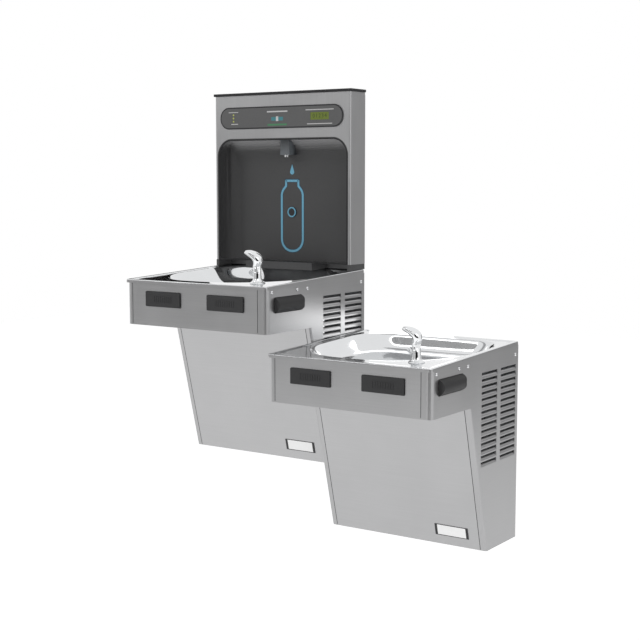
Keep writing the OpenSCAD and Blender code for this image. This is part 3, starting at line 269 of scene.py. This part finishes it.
PANEL_PLASTIC = Finish(
    "panel_plastic", (0.085, 0.085, 0.086), 0.42, 0.0, Grain.EVEN,
    0.05, 0.1, 0.12, specular=0.3,
)
BASE_PLASTIC = Finish(
    "base_plastic", (0.055, 0.055, 0.056), 0.3, 0.0, Grain.EVEN,
    0.08, 0.12, 0.15, specular=0.4,
)
HOOD_PLASTIC = Finish("hood_plastic", (0.05, 0.055, 0.06), 0.35, 0.0, Grain.EVEN, 0.05, 0.1, 0.1)
GLOSS_BLACK = Finish(
    "gloss_black", (0.008, 0.009, 0.012), 0.12, 0.0, Grain.EVEN,
    0.1, 0.2, 0.0, coat=0.5,
)
LCD = Finish("lcd_window", (0.085, 0.115, 0.012), 0.3, 0.0, Grain.LEVEL, 0.1, 0.1, 0.0, glow=0.25)
LCD_INK = Finish("lcd_ink", (0.03, 0.045, 0.006), 0.4, 0.0, Grain.EVEN, 0.08, 0.1, 0.0)
LAMP = Finish("status_lamp", (0.25, 0.27, 0.06), 0.3, 0.0, Grain.EVEN, 0.1, 0.1, 0.0, glow=0.4)
WHITE_PLASTIC = Finish("white_plastic", (0.7, 0.7, 0.68), 0.42, 0.0, Grain.EVEN, 0.04, 0.1, 0.1)
ENAMEL = Finish(
    "black_enamel", (0.016, 0.016, 0.017), 0.25, 0.0, Grain.EVEN,
    0.12, 0.2, 0.08, coat=0.3,
)
BRASS = Finish("brass", (0.55, 0.38, 0.15), 0.3, 1.0, Grain.EVEN, 0.08, 0.2, 0.06)
COPPER = Finish("copper_tube", (0.62, 0.3, 0.17), 0.28, 1.0, Grain.UPRIGHT, 0.1, 0.2, 0.04)
BOARD = Finish("board_green", (0.02, 0.1, 0.04), 0.35, 0.0, Grain.EVEN, 0.15, 0.1, 0.05)
SIGN_NAVY = Finish("sign_navy", (0.012, 0.035, 0.065), 0.4, 0.0, Grain.EVEN, 0.05, 0.1, 0.0)
# The blue print of the signs and the sensor ring glows faintly, though it is no lamp: the glow is
# painted light.
SIGN_BLUE_PAINTED_GLOW = Finish("sign_blue_painted_glow", (0.10, 0.28, 0.39), 0.4, 0.0, Grain.EVEN, 0.05, 0.1, 0.0, glow=0.12)
PRINT_PALE = Finish("pale_print", (0.42, 0.42, 0.42), 0.5, 0.0, Grain.EVEN, 0.05, 0.1, 0.0)
PRINT_TEAL = Finish("teal_print", (0.03, 0.16, 0.18), 0.5, 0.0, Grain.EVEN, 0.06, 0.1, 0.0)
PRINT_GREEN = Finish("green_print", (0.04, 0.16, 0.07), 0.5, 0.0, Grain.EVEN, 0.06, 0.1, 0.0)
PLATE_WHITE = Finish("plate_face", (0.8, 0.8, 0.8), 0.3, 0.0, Grain.EVEN, 0.02, 0.1, 0.0)
SEAM = Finish("seam_shadow", (0.055, 0.055, 0.057), 0.5, 0.6, Grain.UPRIGHT, 0.1, 0.1, 0.05)
PLATE_INK = Finish("plate_ink", (0.006, 0.006, 0.008), 0.35, 0.0, Grain.EVEN, 0.1, 0.1, 0.0)

CABINET_FINISHES: dict[str, Finish] = {
    "front_apron": LEVEL_STEEL,
    "access_panel": LEVEL_STEEL,
    "left_panel": SHADED_SIDE_STEEL,
    "right_panel": SHADED_SIDE_STEEL,
    "underside_panel": LEVEL_STEEL,
    "basin": POLISHED_STEEL,
    "back_frame": ZINC,
    "bubbler": CHROME,
    "bubbler_guard": CHROME,
    "strainer": CHROME,
    "side_screws": CHROME,
    "trap": WHITE_PLASTIC,
    "valve": BRASS,
    "pad_front_left": PAD_RUBBER,
    "pad_front_right": PAD_RUBBER,
    "pad_side_left": PAD_RUBBER,
    "pad_side_right": PAD_RUBBER,
}
OTHER_FINISHES: dict[str, Finish] = {
    "wall_bracket": ZINC,
    "filler_back_plate": ZINC,
    "condenser": ZINC,
    "link_tube": COPPER,
    "chilled_tube": COPPER,
    "compressor": ENAMEL,
    "fan_motor": ENAMEL,
    "fan_blade": BLACK_PLASTIC,
    "cooling_tank": WHITE_PLASTIC,
    "filter_head": BLACK_PLASTIC,
    "filter_cartridge": WHITE_PLASTIC,
    "filler_base": BASE_PLASTIC,
    "filler_cover": UPRIGHT_STEEL,
    "filler_cap": BLACK_PLASTIC,
    "alcove_liner": LINER_PLASTIC,
    "drip_tray": BASE_PLASTIC,
    "drip_grille": BASE_PLASTIC,
    "control_panel": PANEL_PLASTIC,
    "display_window": LCD,
    "status_lights": LAMP,
    "nozzle_hood": HOOD_PLASTIC,
    "nozzle_tip": CHROME,
    "sensor_window": GLOSS_BLACK,
    "solenoid_valve": BRASS,
    "control_board": BOARD,
}


def alone(obj: bpy.types.Object) -> None:
    """Selects one object only and makes it active.

    Args:
        obj: the object.
    """
    bpy.ops.object.select_all(action="DESELECT")
    obj.select_set(True)
    bpy.context.view_layer.objects.active = obj


def apply_all(obj: bpy.types.Object) -> None:
    """Applies an object's modifiers and its place.

    Args:
        obj: the object.
    """
    alone(obj)
    for modifier in list(obj.modifiers):
        bpy.ops.object.modifier_apply(modifier=modifier.name)
    bpy.ops.object.transform_apply(location=True, rotation=True, scale=True)


def finished(obj: bpy.types.Object, name: str, finish: Finish) -> None:
    """Names, dresses and attaches a new piece, which rides on the station itself.

    Args:
        obj: the piece.
        name: its name.
        finish: its finish.
    """
    obj.name = name
    obj.data.name = name
    obj.data.materials.clear()
    obj.data.materials.append(finish.material())
    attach(obj, STATION)
    LOG.info("piece %s, %d faces", name, len(obj.data.polygons))


def smooth_copy(node: str, levels: int, angle: float, crease: float) -> bpy.types.Object:
    """Copies a pressed or turned node and smooths it.

    Args:
        node: the node's name.
        levels: subdivision levels.
        angle: the smallest angle in degrees that is shaded sharp.
        crease: the smallest angle in degrees that stays a sharp edge.

    Returns:
        The smooth copy.
    """
    source = FRAME["nodes"][node]
    copy = source.copy()
    copy.data = source.data.copy()
    bpy.context.collection.objects.link(copy)
    copy.parent = None
    alone(copy)
    bpy.ops.object.mode_set(mode="EDIT")
    bpy.ops.mesh.select_all(action="SELECT")
    bpy.ops.mesh.remove_doubles(threshold=MERGE_GAP)
    bpy.ops.mesh.tris_convert_to_quads(
        face_threshold=math.radians(FACE_ANGLE), shape_threshold=math.radians(SHAPE_ANGLE)
    )
    if levels:
        bpy.ops.mesh.select_all(action="DESELECT")
        bpy.ops.mesh.edges_select_sharp(sharpness=math.radians(crease))
        bpy.ops.transform.edge_crease(value=1.0)
    bpy.ops.object.mode_set(mode="OBJECT")
    if levels:
        sub = copy.modifiers.new("smooth", "SUBSURF")
        sub.levels = levels
        sub.render_levels = levels
        bpy.ops.object.modifier_apply(modifier=sub.name)
    bpy.ops.object.shade_smooth_by_angle(angle=math.radians(angle))
    return copy


@dataclass(frozen=True)
class Seam:
    """A folded seam: its name, place across, middle's drop and upright length in millimetres."""

    name: str
    across: float
    drop: float
    length: float
    sloping: bool


@dataclass(frozen=True)
class Cabinet:
    """One fountain cabinet: its finishes, smooth basin and bubbler, blank plate and seam lines.

    Sizes are the part's own, in millimetres. Drops are measured down from the front rim, backs
    towards the wall from the front rim's plane.
    """

    side: Side
    depth: float = 460.0
    rim_rise: float = 18.0
    skirt_drop: float = 10.0
    skirt_tilt: float = 0.25
    outline_near: tuple[float, float] = (3.0, -457.0)
    outline_far: tuple[float, float] = (462.0, -6.0)
    apron_back: float = 5.0
    panel_top_drop: float = 120.0
    panel_foot_drop: float = 496.0
    panel_top_back: float = 195.0
    panel_foot_back: float = 292.0
    plate_across: float = 370.0
    plate_drop: float = 456.5
    plate_w: float = 95.0
    plate_h: float = 31.0
    bar_w: float = 7.0
    rule_h: float = 1.8
    seam_w: float = 1.5
    seam_thick: float = 0.25
    folds: tuple[Seam, ...] = (
        Seam("apron_left", 21.15, 58.0, 117.0, False),
        Seam("apron_right", 435.15, 58.0, 117.0, False),
        Seam("access_left", 18.15, 308.0, 372.0, True),
        Seam("access_right", 446.85, 308.0, 372.0, True),
    )

    @property
    def lean(self) -> float:
        """Gives the lean of the sloping lower front in radians."""
        run = self.panel_foot_back - self.panel_top_back
        return math.atan(run / (self.panel_foot_drop - self.panel_top_drop))

    def panel_y(self, drop: float) -> float:
        """Tells where the sloping lower front lies at a drop, from the wall in millimetres."""
        back = self.panel_top_back + (drop - self.panel_top_drop) * math.tan(self.lean)
        return -self.depth + back

    def dress(self) -> None:
        """Gives every node of the cabinet its finish."""
        for part, finish in CABINET_FINISHES.items():
            paint(f"{self.side.prefix}_{part}", finish)

    def build(self) -> None:
        """Makes the cabinet's new pieces."""
        self.basin()
        self.bubbler()
        self.plate()
        self.seams()

    def basin(self) -> None:
        """Makes the smooth pressed basin."""
        node = f"{self.side.prefix}_basin"
        piece = smooth_copy(node, levels=2, angle=40, crease=50)
        finished(piece, f"{self.side.prefix}_basin_pressing", POLISHED_STEEL)
        self._skirt(piece)
        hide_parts(node)

    def _skirt(self, piece: bpy.types.Object) -> None:
        """Gives the rim's upright skirt the satin finish of the cabinet's sides, whose slightly
        darker colour is painted shade.

        Args:
            piece: the smooth basin.
        """
        piece.data.materials.append(SHADED_SIDE_STEEL.material())
        foot = self.side.at(0.0, -self.depth, -self.skirt_drop).z
        for face in piece.data.polygons:
            rise = (face.center.y + self.depth / 1000) * self.rim_rise / self.depth
            upright = abs(face.normal.z) < self.skirt_tilt
            if upright and face.center.z - rise > foot and self._outer(face.center):
                face.material_index = 1

    def _outer(self, place: Vector) -> bool:
        """Tells whether a place lies on the rim's outline.

        Args:
            place: a point in metres.

        Returns:
            True within three millimetres of the outline.
        """
        near = self.side.at(*self.outline_near, 0.0)
        far = self.side.at(*self.outline_far, 0.0)
        return not (near.x < place.x < far.x and near.y < place.y < far.y)

    def bubbler(self) -> None:
        """Makes the smooth bubbler body and guard."""
        for part, levels in (("bubbler", 0), ("bubbler_guard", 2)):
            node = f"{self.side.prefix}_{part}"
            piece = smooth_copy(node, levels, angle=40, crease=60)
            finished(piece, f"{node}_casting", CHROME)
            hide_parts(node)

    def plate(self) -> None:
        """Makes the blank plate on the access panel, with its dark border bars."""
        centre = self.side.at(self.plate_across, self.panel_y(self.plate_drop), -self.plate_drop)
        side_bar, level_bar = (self.plate_w - self.bar_w) / 2, (self.plate_h - self.rule_h) / 2
        face = (self.plate_w, self.plate_h, 0.5)
        bar = (self.bar_w, self.plate_h, 0.9)
        rule = (self.plate_w, self.rule_h, 0.8)
        specs = (
            ("face", 0.0, 0.0, face, PLATE_WHITE, "white_plastic"),
            ("bar_left", -side_bar, 0.0, bar, PLATE_INK, "black_plastic"),
            ("bar_right", side_bar, 0.0, bar, PLATE_INK, "black_plastic"),
            ("rule_top", 0.0, level_bar, rule, PLATE_INK, "black_plastic"),
            ("rule_foot", 0.0, -level_bar, rule, PLATE_INK, "black_plastic"),
        )
        for name, dx, dz, size, finish, slot in specs:
            piece = plate_piece(centre, self.lean, size, dx, dz)
            finished(piece, f"{self.side.prefix}_plate_{name}", finish)

    def seams(self) -> None:
        """Makes the dark lines where the wrapped side panels meet the front panels."""
        for fold in self.folds:
            lean = self.lean if fold.sloping else 0.0
            y = self.panel_y(fold.drop) if fold.sloping else self.apron_back - self.depth
            middle = self.side.at(fold.across, y, -fold.drop)
            size = (self.seam_w, fold.length / math.cos(lean), self.seam_thick)
            piece = plate_piece(middle, lean, size)
            finished(piece, f"{self.side.prefix}_seam_{fold.name}", SEAM)


def plate_piece(
    centre: Vector, lean: float, size: Point, dx: float = 0.0, dz: float = 0.0
) -> bpy.types.Object:
    """Makes a thin bevelled plate that stands upright and faces the room, leaning back at its foot.

    Args:
        centre: the middle of the group, on the carrying surface.
        lean: the surface's lean in radians.
        size: width, height and thickness in millimetres.
        dx: sideways offset in millimetres.
        dz: upward offset in millimetres along the surface.

    Returns:
        The plate.
    """
    width, height, thick = size
    bpy.ops.object.select_all(action="DESELECT")
    bpy.ops.mesh.primitive_cube_add(size=1)
    obj = bpy.context.object
    obj.scale = (width / 1000, thick / 1000, height / 1000)
    bpy.ops.object.transform_apply(scale=True)
    bevel = obj.modifiers.new("edge", "BEVEL")
    bevel.width = min(size) * PLATE_BEVEL / 1000
    bevel.segments = 2
    obj.location = (dx / 1000, -thick / 2000, dz / 1000)
    bpy.ops.object.transform_apply(location=True)
    obj.rotation_euler = (lean, 0, 0)
    obj.location = centre
    apply_all(obj)
    return obj


def rectangle(width: float, height: float) -> bpy.types.Object:
    """Makes a flat rectangle about the origin.

    Args:
        width: its width in metres.
        height: its height in metres.

    Returns:
        The flat mesh.
    """
    bpy.ops.object.select_all(action="DESELECT")
    bpy.ops.mesh.primitive_plane_add(size=1)
    obj = bpy.context.object
    obj.scale = (width, height, 1)
    bpy.ops.object.transform_apply(scale=True)
    return obj


def stand(obj: bpy.types.Object, place: Vector | Point) -> None:
    """Stands a flat piece upright, facing the room, and applies its place.

    Args:
        obj: the piece.
        place: where its middle comes, in metres.
    """
    obj.rotation_euler = UPRIGHT
    obj.location = place
    apply_all(obj)


def pick_top_edge(obj: bpy.types.Object) -> None:
    """Selects the edge along the top of a flat mesh that is in edit mode.

    Args:
        obj: the flat mesh.
    """
    bpy.ops.mesh.select_all(action="DESELECT")
    bpy.ops.object.mode_set(mode="OBJECT")
    heights = [vertex.co.y for vertex in obj.data.vertices]
    for edge in obj.data.edges:
        edge.select = min(heights[end] for end in edge.vertices) > max(heights) - TOP_GAP
    bpy.ops.object.mode_set(mode="EDIT")


def round_corners(obj: bpy.types.Object, corners: Corners) -> None:
    """Rounds the corners of a flat mesh that lie between two heights.

    Args:
        obj: the flat mesh.
        corners: the two heights, the radius and how many steps the arc has.
    """
    low, high, radius, steps = corners
    alone(obj)
    for vertex in obj.data.vertices:
        vertex.select = low < vertex.co.y < high
    for edge in obj.data.edges:
        edge.select = False
    for face in obj.data.polygons:
        face.select = False
    bpy.ops.object.mode_set(mode="EDIT")
    bpy.ops.mesh.bevel(offset=radius, segments=steps, affect="VERTICES")
    bpy.ops.object.mode_set(mode="OBJECT")


def outline(obj: bpy.types.Object, width: float, thickness: float) -> None:
    """Turns a flat face into a strip along its edge.

    Args:
        obj: the flat mesh.
        width: the strip's width in metres.
        thickness: the strip's thickness in metres.
    """
    alone(obj)
    bpy.ops.object.mode_set(mode="EDIT")
    bpy.ops.mesh.select_mode(type="FACE")
    bpy.ops.mesh.select_all(action="SELECT")
    bpy.ops.mesh.inset(thickness=width, use_boundary=True)
    bpy.ops.mesh.delete(type="FACE")
    bpy.ops.object.mode_set(mode="OBJECT")
    thick = obj.modifiers.new("thick", "SOLIDIFY")
    thick.thickness = thickness
    bpy.ops.object.modifier_apply(modifier=thick.name)


@dataclass(frozen=True)
class Mark:
    """A plain printed mark: its name, place across and up, size in millimetres and finish."""

    name: str
    x: float
    z: float
    size: Point
    finish: Finish


@dataclass(frozen=True)
class Filler:
    """The bottle filler's finishes, its smooth liner, the sign in the alcove and the panel's marks.

    The first fields are places in the upper cabinet, in millimetres: the alcove's back wall, the
    control panel's face, the filler's middle and the heights of the signs. All other sizes but the
    marks' are metres.
    """

    back: float = -16.0
    front: float = -78.3
    middle: float = 229.5
    display: float = 365.0
    sign_rise: float = 144.0
    drop_rise: float = 284.0
    ring_rise: float = 171.0
    digit_rise: float = 434.5
    sign_size: tuple[float, float] = (0.082, 0.175)
    sign_neck: tuple[tuple[float, float], ...] = ((0.016, 0.62), (0.017, 1.0))
    sign_corners: tuple[Corners, ...] = (
        (-1.0, -0.08, 0.038, 10),
        (0.08, 0.09, 0.012, 5),
        (0.11, 1.0, 0.002, 3),
    )
    line_w: float = 0.0034
    lip_size: tuple[float, float] = (0.4418, 0.3415)
    lip_corners: Corners = (0.0, 1.0, 0.0479, 20)
    lip_place: Point = (-0.233, -0.0754, 0.45415)
    drop_radius: float = 0.0072
    drop_taper: float = 0.8
    drop_stretch: float = 3.1
    drop_thick: float = 0.0003
    ring_radius: float = 0.0125
    ring_line: float = 0.0021
    digit_size: float = 0.0155
    digit_space: float = 1.25
    digit_depth: float = 0.00005
    marks: tuple[Mark, ...] = (
        Mark("rule_display_top", 365.0, 451.5, (92.0, 2.4, 0.2), PRINT_PALE),
        Mark("rule_display_foot", 365.0, 413.5, (82.0, 2.2, 0.2), PRINT_PALE),
        Mark("rule_lamps_top", 70.0, 451.0, (34.0, 1.8, 0.2), PRINT_PALE),
        Mark("rule_lamps_foot", 74.0, 418.0, (24.0, 2.2, 0.2), PRINT_PALE),
        Mark("bar_pale", 223.0, 450.0, (70.0, 3.6, 0.2), PRINT_PALE),
        Mark("bar_teal", 223.0, 430.0, (40.0, 10.0, 0.2), PRINT_TEAL),
        Mark("bar_white", 223.0, 430.0, (8.0, 13.0, 0.35), PRINT_PALE),
        Mark("bar_green", 223.0, 414.0, (66.0, 5.0, 0.2), PRINT_GREEN),
    )

    def dress(self) -> None:
        """Gives the filler's and the other nodes their finish."""
        for node, finish in OTHER_FINISHES.items():
            paint(node, finish)

    def build(self) -> None:
        """Makes the filler's new pieces."""
        liner = smooth_copy("alcove_liner", levels=0, angle=32, crease=60)
        finished(liner, "alcove_liner_moulding", LINER_PLASTIC)
        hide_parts("alcove_liner")
        self.bottle_sign("bottle_sign_edge", SIGN_NAVY, share=1.0, stroke=0.0094, lift=0.0002)
        # The inner blue line of the bottle sign glows faintly as painted light.
        self.bottle_sign("bottle_sign", SIGN_BLUE_PAINTED_GLOW, share=0.962, stroke=0.0062, lift=0.00035)
        self.panel_border()
        self.alcove_border()
        self.drop_sign()
        self.sensor_ring()
        self.panel_marks()
        self.digits()

    def bottle_sign(
        self, name: str, finish: Finish, share: float, stroke: float, lift: float
    ) -> None:
        """Makes the printed bottle outline on the alcove's back wall.

        Args:
            name: the piece's name.
            finish: its finish.
            share: its width as a share of the whole sign's.
            stroke: the line's width in metres.
            lift: how far it stands off the wall in metres.
        """
        obj = rectangle(*self.sign_size)
        bpy.ops.object.mode_set(mode="EDIT")
        bpy.ops.mesh.select_mode(type="EDGE")
        for rise, width in self.sign_neck:
            pick_top_edge(obj)
            bpy.ops.mesh.extrude_region_move(TRANSFORM_OT_translate={"value": (0, rise, 0)})
            bpy.ops.transform.resize(value=(width, 1, 1))
        bpy.ops.mesh.select_mode(type="VERT")
        bpy.ops.mesh.select_all(action="SELECT")
        bpy.ops.mesh.dissolve_limited(angle_limit=0.01)
        bpy.ops.object.mode_set(mode="OBJECT")
        for corners in self.sign_corners:
            round_corners(obj, corners)
        obj.scale = (share, 1 - (1 - share) * 0.5, 1)
        bpy.ops.object.transform_apply(scale=True)
        outline(obj, stroke, lift)
        stand(obj, Side.UPPER.at(self.middle, self.back + 0.1 - lift * 1000, self.sign_rise))
        finished(obj, name, finish)

    def panel_border(self) -> None:
        """Makes the dark line round the control panel."""
        panel = FRAME["nodes"]["control_panel"]
        points = [panel.matrix_world @ Vector(corner) for corner in panel.bound_box]
        low = Vector((min(q.x for q in points), 0, min(q.z for q in points)))
        high = Vector((max(q.x for q in points), 0, max(q.z for q in points)))
        height = high.z - low.z
        obj = rectangle(high.x - low.x, height)
        round_corners(obj, (-1.0, 1.0, height * 0.49, 16))
        outline(obj, self.line_w, thickness=0.0002)
        y = Side.UPPER.at(0, self.front - 0.05, 0).y
        stand(obj, ((low.x + high.x) / 2, y, (low.z + high.z) / 2))
        finished(obj, "panel_border", PLATE_INK)

    def alcove_border(self) -> None:
        """Makes the dark lip just inside the alcove's opening."""
        obj = rectangle(*self.lip_size)
        round_corners(obj, self.lip_corners)
        outline(obj, self.line_w, thickness=0.0008)
        stand(obj, self.lip_place)
        finished(obj, "alcove_lip", BLACK_PLASTIC)

    def drop_sign(self) -> None:
        """Makes the printed drop above the bottle: a disc whose upper half runs to a point. Its
        faint glow is painted light.
        """
        bpy.ops.object.select_all(action="DESELECT")
        bpy.ops.mesh.primitive_circle_add(vertices=32, radius=self.drop_radius, fill_type="NGON")
        obj = bpy.context.object
        for vertex in obj.data.vertices:
            if vertex.co.y > 0:
                share = vertex.co.y / self.drop_radius
                vertex.co.x *= (1 - share) ** self.drop_taper
                vertex.co.y *= self.drop_stretch
        thick = obj.modifiers.new("thick", "SOLIDIFY")
        thick.thickness = self.drop_thick
        stand(obj, Side.UPPER.at(self.middle, self.back - 0.4, self.drop_rise))
        finished(obj, "drop_sign", SIGN_BLUE_PAINTED_GLOW)

    def sensor_ring(self) -> None:
        """Makes the blue ring round the bottle sensor, whose faint glow is painted light."""
        bpy.ops.object.select_all(action="DESELECT")
        bpy.ops.mesh.primitive_torus_add(
            major_radius=self.ring_radius,
            minor_radius=self.ring_line,
            major_segments=64,
            minor_segments=10,
        )
        obj = bpy.context.object
        stand(obj, Side.UPPER.at(self.middle, self.back - 2.6, self.ring_rise))
        bpy.ops.object.shade_smooth()
        finished(obj, "sensor_ring", SIGN_BLUE_PAINTED_GLOW)

    def panel_marks(self) -> None:
        """Makes the plain printed rules and bars of the control panel."""
        for mark in self.marks:
            piece = plate_piece(Side.UPPER.at(mark.x, self.front, mark.z), 0.0, mark.size)
            finished(piece, mark.name, mark.finish)

    def digits(self) -> None:
        """Makes the plain numbers in the display window."""
        bpy.ops.object.select_all(action="DESELECT")
        bpy.ops.object.text_add()
        text = bpy.context.object.data
        text.body = "01234"
        text.align_x = "CENTER"
        text.align_y = "CENTER"
        text.size = self.digit_size
        text.space_character = self.digit_space
        text.extrude = self.digit_depth
        bpy.ops.object.convert(target="MESH")
        obj = bpy.context.object
        stand(obj, Side.UPPER.at(self.display, self.front + 0.2, self.digit_rise))
        finished(obj, "display_digits", LCD_INK)


def paint(node: str, finish: Finish) -> None:
    """Gives a node its finish.

    Args:
        node: the node's name.
        finish: the finish.
    """
    obj = FRAME["nodes"][node]
    material = finish.material()
    if not obj.material_slots:
        obj.data.materials.append(material)
    for place in obj.material_slots:
        place.material = material


def aimed(place: Point, aim: Point, axis: str) -> Euler:
    """Gives the turn that points an axis of a thing at its place towards an aim."""
    return (Vector(aim) - Vector(place)).to_track_quat(axis, "Y").to_euler()


def clear_behind(
    tree: bpy.types.NodeTree, front: bpy.types.NodeSocket, out: bpy.types.Node
) -> None:
    """Shows a surface from its front only and lets light through from behind.

    Args:
        tree: the material's node tree.
        front: the front's shader.
        out: the material's output.
    """
    clear = tree.nodes.new("ShaderNodeBsdfTransparent")
    side = tree.nodes.new("ShaderNodeNewGeometry")
    blend = tree.nodes.new("ShaderNodeMixShader")
    tree.links.new(side.outputs["Backfacing"], blend.inputs[0])
    tree.links.new(front, blend.inputs[1])
    tree.links.new(clear.outputs["BSDF"], blend.inputs[2])
    tree.links.new(blend.outputs["Shader"], out.inputs["Surface"])


@dataclass(frozen=True)
class Card:
    """A card outside the view that only polished and satin surfaces reflect."""

    name: str
    place: Point
    aim: Point
    width: float
    height: float
    level: float

    def build(self) -> None:
        """Makes the card, which glows on the side that it aims and is clear from the other."""
        obj = rectangle(self.width, self.height)
        obj.name = self.name
        obj.rotation_euler = aimed(self.place, self.aim, "Z")
        obj.location = self.place
        mat = bpy.data.materials.new(self.name)
        mat.use_nodes = True
        tree = mat.node_tree
        tree.nodes.clear()
        glow = tree.nodes.new("ShaderNodeEmission")
        glow.inputs["Color"].default_value = (self.level, self.level, self.level, 1)
        out = tree.nodes.new("ShaderNodeOutputMaterial")
        clear_behind(tree, glow.outputs["Emission"], out)
        obj.data.materials.append(mat)
        obj.visible_camera = False
        obj.visible_diffuse = False
        obj.visible_shadow = False


@dataclass(frozen=True)
class Lamp:
    """A soft lamp outside the view: a square, or a narrow strip that metal doesn't reflect."""

    name: str
    place: Point
    aim: Point
    size: float
    power: float
    strip: float = 0.0
    spread: float = 180.0

    def build(self) -> None:
        """Makes the lamp."""
        bpy.ops.object.select_all(action="DESELECT")
        bpy.ops.object.light_add(type="AREA", location=self.place)
        lamp = bpy.context.object
        lamp.name = self.name
        lamp.rotation_euler = aimed(self.place, self.aim, "-Z")
        lamp.data.size = self.size
        lamp.data.energy = self.power
        lamp.data.spread = math.radians(self.spread)
        if self.strip:
            lamp.data.shape = "RECTANGLE"
            lamp.data.size_y = self.strip
        lamp.visible_camera = False
        lamp.visible_glossy = not self.strip


@dataclass(frozen=True)
class Studio:
    """The floor, the pale surroundings, the cards that metal reflects, the lamps and the camera.

    The surroundings light the station at one level and show themselves at another. The camera's
    angles are degrees, its lens and sensor millimetres, and it sees as many metres as sight says.
    """

    lit_level: float = 0.62
    seen_level: float = 1.0
    floor_z: float = -0.78
    floor_size: float = 14.0
    floor_tone: float = 0.92
    floor_roughness: float = 0.9
    floor_glow: float = 0.42
    yaw: float = 34.21
    pitch: float = 6.24
    lens: float = 72.63
    sensor: float = 36.0
    sight: float = 100.0
    eye: Point = (1.88805, -3.00169, 0.51459)
    cards: tuple[Card, ...] = (
        Card("card_front", (-2.1, -3.4, 0.1), (0, 0, 0.1), 3.0, 2.2, 0.46),
        Card("card_back", (2.3, 3.3, 0.3), (0, 0, 0.3), 3.2, 2.4, 0.43),
        Card("card_dark", (-2.2, 2.0, 0.7), (0, 0, 0.7), 1.0, 1.1, 0.01),
        Card("card_camera", (2.2, -3.5, 0.5), (0, 0, 0.4), 4.5, 2.6, 0.02),
        Card("card_alcove", (-0.315, -0.115, 0.445), (-0.315, -1.0, 0.445), 0.29, 0.57, 1.0),
        Card("card_alcove_edge", (-0.145, -0.115, 0.445), (-0.145, -1.0, 0.445), 0.05, 0.57, 0.22),
        Card("card_wall", (0.15, -0.012, 0.12), (0.15, -1.0, 0.12), 0.26, 0.06, 2.4),
        Card("card_roof", (-0.75, -1.75, 1.45), (0.0, -0.05, 0.15), 1.5, 1.1, 0.34),
    )
    lamps: tuple[Lamp, ...] = (
        Lamp("key", (-1.6, -3.0, 2.6), (0, -0.2, 0.1), 2.4, 45.0),
        Lamp("fill", (2.8, -2.2, 1.6), (0, -0.2, 0.1), 2.0, 18.0),
        Lamp("bounce", (-0.2365, -0.052, 0.58), (-0.2365, -0.052, 0.66), 0.38, 0.16, 0.03, 110.0),
    )

    def build(self) -> None:
        """Makes the whole studio."""
        self.world()
        self.floor()
        for thing in (*self.cards, *self.lamps):
            thing.build()
        self.camera()

    def world(self) -> None:
        """Makes pale surroundings that lens, metal and glass see as white."""
        world = bpy.data.worlds.new("studio")
        bpy.context.scene.world = world
        world.use_nodes = True
        tree = world.node_tree
        tree.nodes.clear()
        level = tree.nodes.new("ShaderNodeMapRange")
        level.inputs["To Min"].default_value = self.lit_level
        level.inputs["To Max"].default_value = self.seen_level
        tree.links.new(self._seen(tree), level.inputs["Value"])
        back = tree.nodes.new("ShaderNodeBackground")
        back.inputs["Color"].default_value = (1, 1, 1, 1)
        tree.links.new(level.outputs["Result"], back.inputs["Strength"])
        out = tree.nodes.new("ShaderNodeOutputWorld")
        tree.links.new(back.outputs["Background"], out.inputs["Surface"])

    @staticmethod
    def _seen(tree: bpy.types.NodeTree) -> bpy.types.NodeSocket:
        """Finds the rays that see the surroundings themselves.

        Args:
            tree: the node tree.

        Returns:
            One for camera, glossy and transmission rays, otherwise zero.
        """
        path = tree.nodes.new("ShaderNodeLightPath")
        found = path.outputs["Is Camera Ray"]
        for kind in ("Is Glossy Ray", "Is Transmission Ray"):
            larger = tree.nodes.new("ShaderNodeMath")
            larger.operation = "MAXIMUM"
            tree.links.new(found, larger.inputs[0])
            tree.links.new(path.outputs[kind], larger.inputs[1])
            found = larger.outputs[0]
        return found

    def floor(self) -> None:
        """Makes the plain pale floor, which is clear when it is seen from below."""
        bpy.ops.object.select_all(action="DESELECT")
        bpy.ops.mesh.primitive_plane_add(size=self.floor_size, location=(0, 0, self.floor_z))
        obj = bpy.context.object
        obj.name = "floor"
        mat = bpy.data.materials.new("floor_white")
        mat.use_nodes = True
        tree = mat.node_tree
        shader = tree.nodes["Principled BSDF"]
        shader.inputs["Base Color"].default_value = (*(self.floor_tone,) * 3, 1)
        shader.inputs["Roughness"].default_value = self.floor_roughness
        shader.inputs["Emission Color"].default_value = (1, 1, 1, 1)
        shader.inputs["Emission Strength"].default_value = self.floor_glow
        clear_behind(tree, shader.outputs["BSDF"], tree.nodes["Material Output"])
        obj.data.materials.append(mat)

    def camera(self) -> None:
        """Makes the camera at the photograph's viewing angle."""
        data = bpy.data.cameras.new("camera")
        data.sensor_fit = "HORIZONTAL"
        data.sensor_width = self.sensor
        data.lens = self.lens
        data.clip_end = self.sight
        cam = bpy.data.objects.new("camera", data)
        bpy.context.collection.objects.link(cam)
        cam.location = self.eye
        cam.rotation_euler = (math.radians(90 - self.pitch), 0, math.radians(self.yaw))
        bpy.context.scene.camera = cam


def main() -> None:
    """Builds the station's dress and the studio in order."""
    logging.basicConfig(level=logging.INFO, format="%(name)s: %(message)s")
    scene = bpy.context.scene
    scene.view_settings.view_transform = "Standard"
    for side in Side:
        cabinet = Cabinet(side)
        cabinet.dress()
        cabinet.build()
    filler = Filler()
    filler.dress()
    filler.build()
    Studio().build()


if __name__ == "__main__":
    main()
